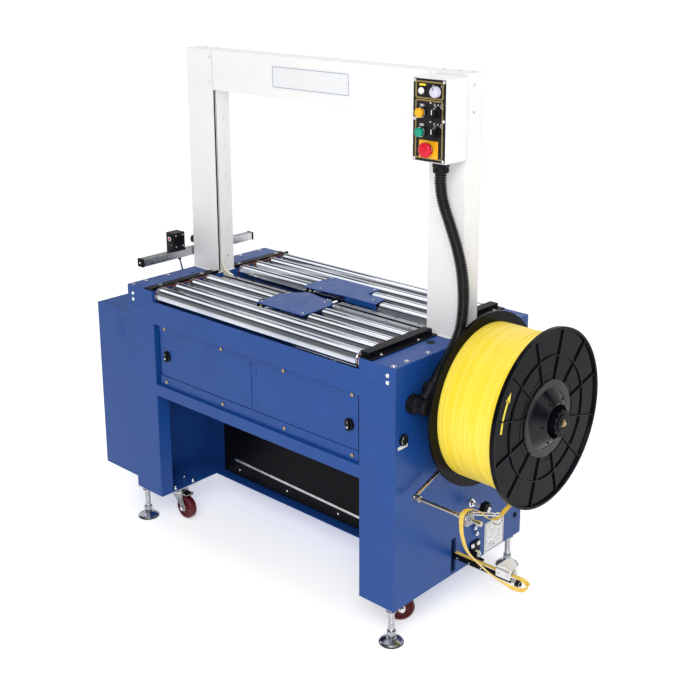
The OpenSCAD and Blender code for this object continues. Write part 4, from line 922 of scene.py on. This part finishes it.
# hole plug and slots of the caps
k.ring(9.5, 12.4, 787, 790.6, (484, -90, 0), Z, black, 40, 0.4)
k.lathe([(0, 788.2), (9.5, 788.2), (9.5, 789.4), (0, 789.4)], (484, -90, 0), Z, rubber, 32)
for s in (-1, 1):
    for y in (-291, -241, -155, 155, 241):
        k.ring(5, 7, 790, 790.6, (s * 528, y, 0), Z, chrome, 28, 0.15)
for p in ((452, -251), (450, -100), (452, 240), (450, 100), (-452, -246), (-452, -80), (-452, 246), (-452, 80)):
    k.ring(4.5, 6.6, 793, 793.6, (p[0], p[1], 0), Z, chrome, 28, 0.15)
k.done("root")

# ------------------------------------------------------------------ sensor
k = Kit("sensor_trim")
k.lathe([(10.5, 592), (8, 596.5), (3, 598), (0, 598.2)], (0, -90, 842), NX, black, 28)
for i in range(10):
    a = 2 * math.pi * i / 10
    k.disc(1.4, 583, 594, (0, -90 + 9.8 * math.cos(a), 842 + 9.8 * math.sin(a)), NX, black, 10, 0.3)
# photocell: bezel, lens, lamps and screws
k.frame(-580.5, -547.5, 864, 908, 2.5, 1.6, (0, -112, 0), X, Z, 1.0, black)
k.prism(rr(-577, -551, 884, 903, 2), (0, -112, 0), X, Z, 1.6, black_gloss)
k.ring(5.0, 7.4, 113.4, 115, (-564, 0, 893), NY, chrome, 32, 0.3)
k.lathe([(5.0, 113.6), (4.2, 114.6), (2.4, 115.2), (0, 115.4)], (-564, 0, 893), NY, red_p, 28)
for x, m in ((-571, green_p), (-557, ink_yellow)):
    k.disc(1.6, 112, 113.4, (x, 0, 873), NY, m, 16, 0.4)
for y in (-104, -76):
    for z in (868, 904):
        k.disc(2.4, -545, -543.6, (0, y, z), (1, 0, 0), chrome, 18, 0.4)
k.prism(rr(-106, -74, 872, 900, 2), (-545, 0, 0), Y, Z, 0.6, black_gloss)
k.done("sensor_head")

k = Kit("sensor_post_trim")
for z in (712, 752):
    for y in (-17, 7):
        k.hexn(5.2, 547.8, 552.4, (0, y, z), NX, chrome, c=0.5)
k.ring(5.3, 8.6, 553, 566, (0, -5, 872), NX, black, 32, 0.8)
k.lathe([(0, 566), (11, 566), (12.5, 568), (12.5, 578), (10, 581), (0, 581.5)], (0, -5, 872), NX, black, 32)
for i in range(8):
    a = 2 * math.pi * i / 8
    k.disc(2.0, 566.5, 579, (0, -5 + 12 * math.cos(a), 872 + 12 * math.sin(a)), NX, black, 12, 0.5)
# T-slots of the bar, drawn as thin black lines of painted shade on its faces, and end cap screws
for z in (836, 844):
    k.box(-572.4, -571.95, -230.8, 226.8, z - 0.6, z + 0.6, black_print_and_slot_shade)
for x in (-564, -556):
    k.box(x - 0.6, x + 0.6, -230.8, 226.8, 851.95, 852.4, black_print_and_slot_shade)
for y, a in ((-237, NY), (233, Y)):
    k.disc(3.2, 0, 1.4, (-560, y, 840), a, chrome, 20, 0.4)
# clamp levers
k.hexn(7, 566, 571, (0, -64, 760), NX, chrome, c=0.6)
k.tube([(-560, -64 - 62 * math.sin(math.radians(14)), 760 + 62 * math.cos(math.radians(14))), (-560, -64 - 68 * math.sin(math.radians(14)), 760 + 68 * math.cos(math.radians(14)))], [5, 5.6], black, 20)
k.tube([(-560, -64, 770), (-560, -64, 776)], 4.2, black, 16)
k.done("root")

# ------------------------------------------------------------------ casters and feet
cc = [(-449, -207), (449, -207), (-449, 176), (449, 176)]
ca = [0, 50, 15, 110]
for i in range(4):
    M = Matrix.Translation((cc[i][0], cc[i][1], 0)) @ Matrix.Rotation(math.radians(ca[i]), 4, "Z")
    k = Kit("caster_fork_trim_%d" % (i + 1))
    for j in range(7):
        k.box(26 + j * 3.2, 27.6 + j * 3.2, -13, 13, 88, 89.3, black_satin, M)
    k.box(23, 50, -15, 15, 82.6, 84, black_satin, M)
    k.prism([(44, 88), (50, 92), (51.5, 90.5), (46, 85)], (0, 15, 0), X, Z, 30, black_satin, M)
    for s in (-1, 1):
        k.hexn(7.4, 19.8, 24.5, (32, 0, 39.5), (0, s, 0), chrome, c=0.6, M=M)
        k.ring(5.2, 9.2, 17.1, 18.3, (32, 0, 39.5), (0, s, 0), chrome, 32, M=M)
        k.disc(3.2, 17, 18.6, (-8, 0, 80), (0, s, 0), chrome, 20, M=M)
    k.lathe([(21.2, 93.4), (23, 94.4), (23.6, 97), (22.8, 100), (21.2, 101)], (0, 0, 0), Z, steel_zinc, 48, M)
    k.lathe([(26, 86.2), (27, 87.4), (27, 90.6), (26, 91.8)], (0, 0, 0), Z, steel_zinc, 48, M)
    k.done("caster_fork_%d" % (i + 1), bevel=0.2)
    k = Kit("caster_wheel_trim_%d" % (i + 1))
    for s in (-1, 1):
        k.lathe([(5.4, 12.05), (12.5, 12.3), (13.2, 12.0), (14.2, 8.2), (25.6, 8.0), (27.4, 8.6), (28.8, 11.6), (33.6, 11.7), (35, 11.0)], (32, 0, 39.5), (0, s, 0), wheel_red, 56, M)
        for j in range(6):
            MM = M @ Matrix.Translation((32, 0, 39.5)) @ Matrix.Rotation(math.radians(60 * j), 4, "Y")
            k.box(13.5, 27, min(s * 8.0, s * 9.8), max(s * 8.0, s * 9.8), -1.3, 1.3, wheel_red, MM)
        k.ring(5.2, 9, 12.0, 12.9, (32, 0, 39.5), (0, s, 0), chrome, 32, M=M)
    k.done("caster_wheel_%d" % (i + 1))
    k = Kit("foot_trim_%d" % (i + 1))
    fx_, fy_ = ((-521, -283), (521, -283), (-521, 252), (521, 252))[i]
    th = []
    for t in range(0, 32 * 16 + 1):
        a = 2 * math.pi * t / 16
        th.append((fx_ + 8.05 * math.cos(a), fy_ + 8.05 * math.sin(a), 37 + 58 * t / (32 * 16)))
    k.tube(th, 0.62, chrome, 6)
    k.ring(8.2, 15.4, 106.2, 106.9, (fx_, fy_, 0), Z, chrome, 40, 0.2)
    k.ring(8.2, 15.2, 95, 96, (fx_, fy_, 0), Z, chrome, 40, 0.2)
    k.lathe([(33.3, 0.2), (33.9, 0.8), (33.9, 3.6), (33.2, 4.4)], (fx_, fy_, 0), Z, rubber, 64)
    k.done("foot_%d" % (i + 1))

# ------------------------------------------------------------------ pool box
k = Kit("pool_box_trim")
k.tube([(-404, -50.8, 449.5), (404, -50.8, 449.5)], 1.6, black_satin, 12)
k.box(-404, 404, -51.2, -50, 120, 134, black_satin)
for x in (-330, -110, 110, 330):
    k.disc(3.4, 50, 51.8, (x, 0, 430), NY, chrome, 20, 0.5)
    k.disc(3.4, 50, 51.8, (x, 0, 140), NY, chrome, 20, 0.5)
for s in (-1, 1):
    k.disc(4, 52.2, 54.6, (s * 342, 0, 163 - s * 8.3), NY, chrome, 20, 0.5)
k.done("root")

# ------------------------------------------------------------------ rear face
k = Kit("rear_trim")
for z in range(180, 313, 22):
    for s in (-1, 1):
        x = s * 250
        k.prism([(x - 69, z + 6), (x + 69, z + 6), (x + 66, z + 9), (x - 66, z + 9)], (0, 283.4, 0), X, Z, 3.4, blue)
for x in (-400, -200, 0, 200, 400):
    for z in (125, 740):
        k.disc(4.5, 280, 282.2, (x, 0, z), Y, chrome, 24, 0.6)
k.done("root", bevel=0.2)

# ------------------------------------------------------------------ smooth shading of the CAD nodes
for o in nodes.values():
    if not o.hide_render:
        o.data.shade_smooth()
        o.data.set_sharp_from_angle(angle=math.radians(28))

# ------------------------------------------------------------------ stage
sc = bpy.context.scene
fl = bpy.data.meshes.new("floor_sheet")
bm = bmesh.new()
bmesh.ops.create_grid(bm, x_segments=8, y_segments=8, size=60)
bm.to_mesh(fl)
bm.free()
floor = bpy.data.objects.new("floor_sheet", fl)
sc.collection.objects.link(floor)
t = Tree("m_floor")
setv(t.b, spec=0.15)
t.l(t.mix(t.rng(t.noise(0.6, 3), 0.3, 0.7, 0, 1), (0.84, 0.84, 0.84, 1), (0.87, 0.87, 0.87, 1)), t.b.inputs["Base Color"])
t.b.inputs["Roughness"].default_value = 0.75
t.b.inputs["Emission Color"].default_value = (1, 1, 1, 1)
t.b.inputs["Emission Strength"].default_value = 0.44
floor.data.materials.append(t.mat)

w = bpy.data.worlds.new("studio")
sc.world = w
w.use_nodes = True
nt = w.node_tree
bg = nt.nodes["Background"]
tc = nt.nodes.new("ShaderNodeTexCoord")
dot = nt.nodes.new("ShaderNodeVectorMath")
dot.operation = "DOT_PRODUCT"
dot.inputs[1].default_value = (-0.676, 0.737, 0.0)
nt.links.new(tc.outputs["Generated"], dot.inputs[0])
mr = nt.nodes.new("ShaderNodeMapRange")
for kk, vv in (("From Min", -0.55), ("From Max", 0.6), ("To Min", 0.26), ("To Max", 0.85)):
    mr.inputs[kk].default_value = vv
mr.interpolation_type = "SMOOTHSTEP"
nt.links.new(dot.outputs["Value"], mr.inputs["Value"])
sep = nt.nodes.new("ShaderNodeSeparateXYZ")
nt.links.new(tc.outputs["Generated"], sep.inputs[0])
m2 = nt.nodes.new("ShaderNodeMapRange")
for kk, vv in (("From Min", 0.55), ("From Max", 1.0), ("To Min", 0.0), ("To Max", 0.15)):
    m2.inputs[kk].default_value = vv
m2.interpolation_type = "SMOOTHSTEP"
nt.links.new(sep.outputs["Z"], m2.inputs["Value"])
ad = nt.nodes.new("ShaderNodeMath")
ad.operation = "ADD"
nt.links.new(mr.outputs["Result"], ad.inputs[0])
nt.links.new(m2.outputs["Result"], ad.inputs[1])
# bright and dark panels of the studio ceiling, seen in the rollers
ym = nt.nodes.new("ShaderNodeMapRange")
for kk, vv in (("From Min", -1.0), ("From Max", 1.0), ("To Min", 0.0), ("To Max", 1.0)):
    ym.inputs[kk].default_value = vv
nt.links.new(sep.outputs["Y"], ym.inputs["Value"])
cr = nt.nodes.new("ShaderNodeValToRGB")
el = cr.color_ramp.elements
el[0].position, el[0].color = 0.0, (0.55, 0.55, 0.55, 1)
el[1].position, el[1].color = 1.0, (1.0, 1.0, 1.0, 1)
for pos, val in ((0.26, 0.35), (0.30, 0.10), (0.40, 0.10), (0.43, 1.7), (0.60, 1.7), (0.63, 0.12), (0.77, 0.12), (0.81, 1.15)):
    x_ = el.new(pos)
    x_.color = (val, val, val, 1)
nt.links.new(ym.outputs["Result"], cr.inputs["Fac"])
kz = nt.nodes.new("ShaderNodeMapRange")
for kk, vv in (("From Min", 0.08), ("From Max", 0.2), ("To Min", 0.0), ("To Max", 1.0)):
    kz.inputs[kk].default_value = vv
nt.links.new(sep.outputs["Z"], kz.inputs["Value"])
mx = nt.nodes.new("ShaderNodeMix")
mx.data_type = "FLOAT"
nt.links.new(kz.outputs["Result"], mx.inputs[0])
mx.inputs[2].default_value = 1.0
nt.links.new(cr.outputs["Color"], mx.inputs[3])
mu = nt.nodes.new("ShaderNodeMath")
mu.operation = "MULTIPLY"
nt.links.new(ad.outputs[0], mu.inputs[0])
nt.links.new(mx.outputs[0], mu.inputs[1])
nt.links.new(mu.outputs[0], bg.inputs["Strength"])
bg.inputs["Color"].default_value = (1, 1, 1, 1)


def area(name, loc, target, sx, sy, power, color=(1, 1, 1)):
    l = bpy.data.lights.new(name, "AREA")
    l.shape = "RECTANGLE"
    l.size, l.size_y, l.energy, l.color = sx, sy, power, color
    o = bpy.data.objects.new(name, l)
    o.location = loc
    o.rotation_mode = "QUATERNION"
    o.rotation_quaternion = (Vector(target) - Vector(loc)).to_track_quat("-Z", "Y")
    sc.collection.objects.link(o)
    return o


area("key_softbox", (1.9, -2.5, 2.7), (0.1, -0.1, 0.7), 1.8, 1.6, 50)
area("side_softbox", (3.4, 0.6, 2.4), (0, 0, 0.7), 1.6, 2.0, 8)
area("top_strip", (-0.6, 1.6, 3.2), (0, 0, 0.8), 3.0, 0.8, 16)
area("reel_light", (1.7, -1.9, 1.5), (0.62, 0, 0.66), 0.5, 0.5, 7.5)
sun = bpy.data.lights.new("soft_sun", "SUN")
sun.energy, sun.angle = 0.9, math.radians(50)
so = bpy.data.objects.new("soft_sun", sun)
so.rotation_mode = "QUATERNION"
so.rotation_quaternion = Vector((-0.35, 0.55, -0.75)).to_track_quat("-Z", "Y")
sc.collection.objects.link(so)

cam = bpy.data.cameras.new("camera")
co = bpy.data.objects.new("camera", cam)
sc.collection.objects.link(co)
sc.camera = co
cam.sensor_width = 36.0
cam.lens = 1149.81 * 36.0 / 700.0
cam.shift_x, cam.shift_y = 0.0, -100.0 / 700.0
cam.clip_start, cam.clip_end = 0.05, 200
r_ = Vector((0.73725, 0.67562, -0.00173)).normalized()
b_ = Vector((0.65235, -0.71119, 0.26201))
b_ = (b_ - r_ * b_.dot(r_)).normalized()
u_ = b_.cross(r_)
M = Matrix((r_, u_, b_)).transposed().to_4x4()
M.translation = R((2265.0, -2345.2, 1821.0))
co.matrix_world = M
sc.view_settings.view_transform = "Standard"
sc.view_settings.look = "None"
sc.view_settings.exposure = 0.0
sc.view_settings.gamma = 1.0

print("strap length between the reel and the inlet, mm", round(strap_len, 1), "conduit", round(length, 1))
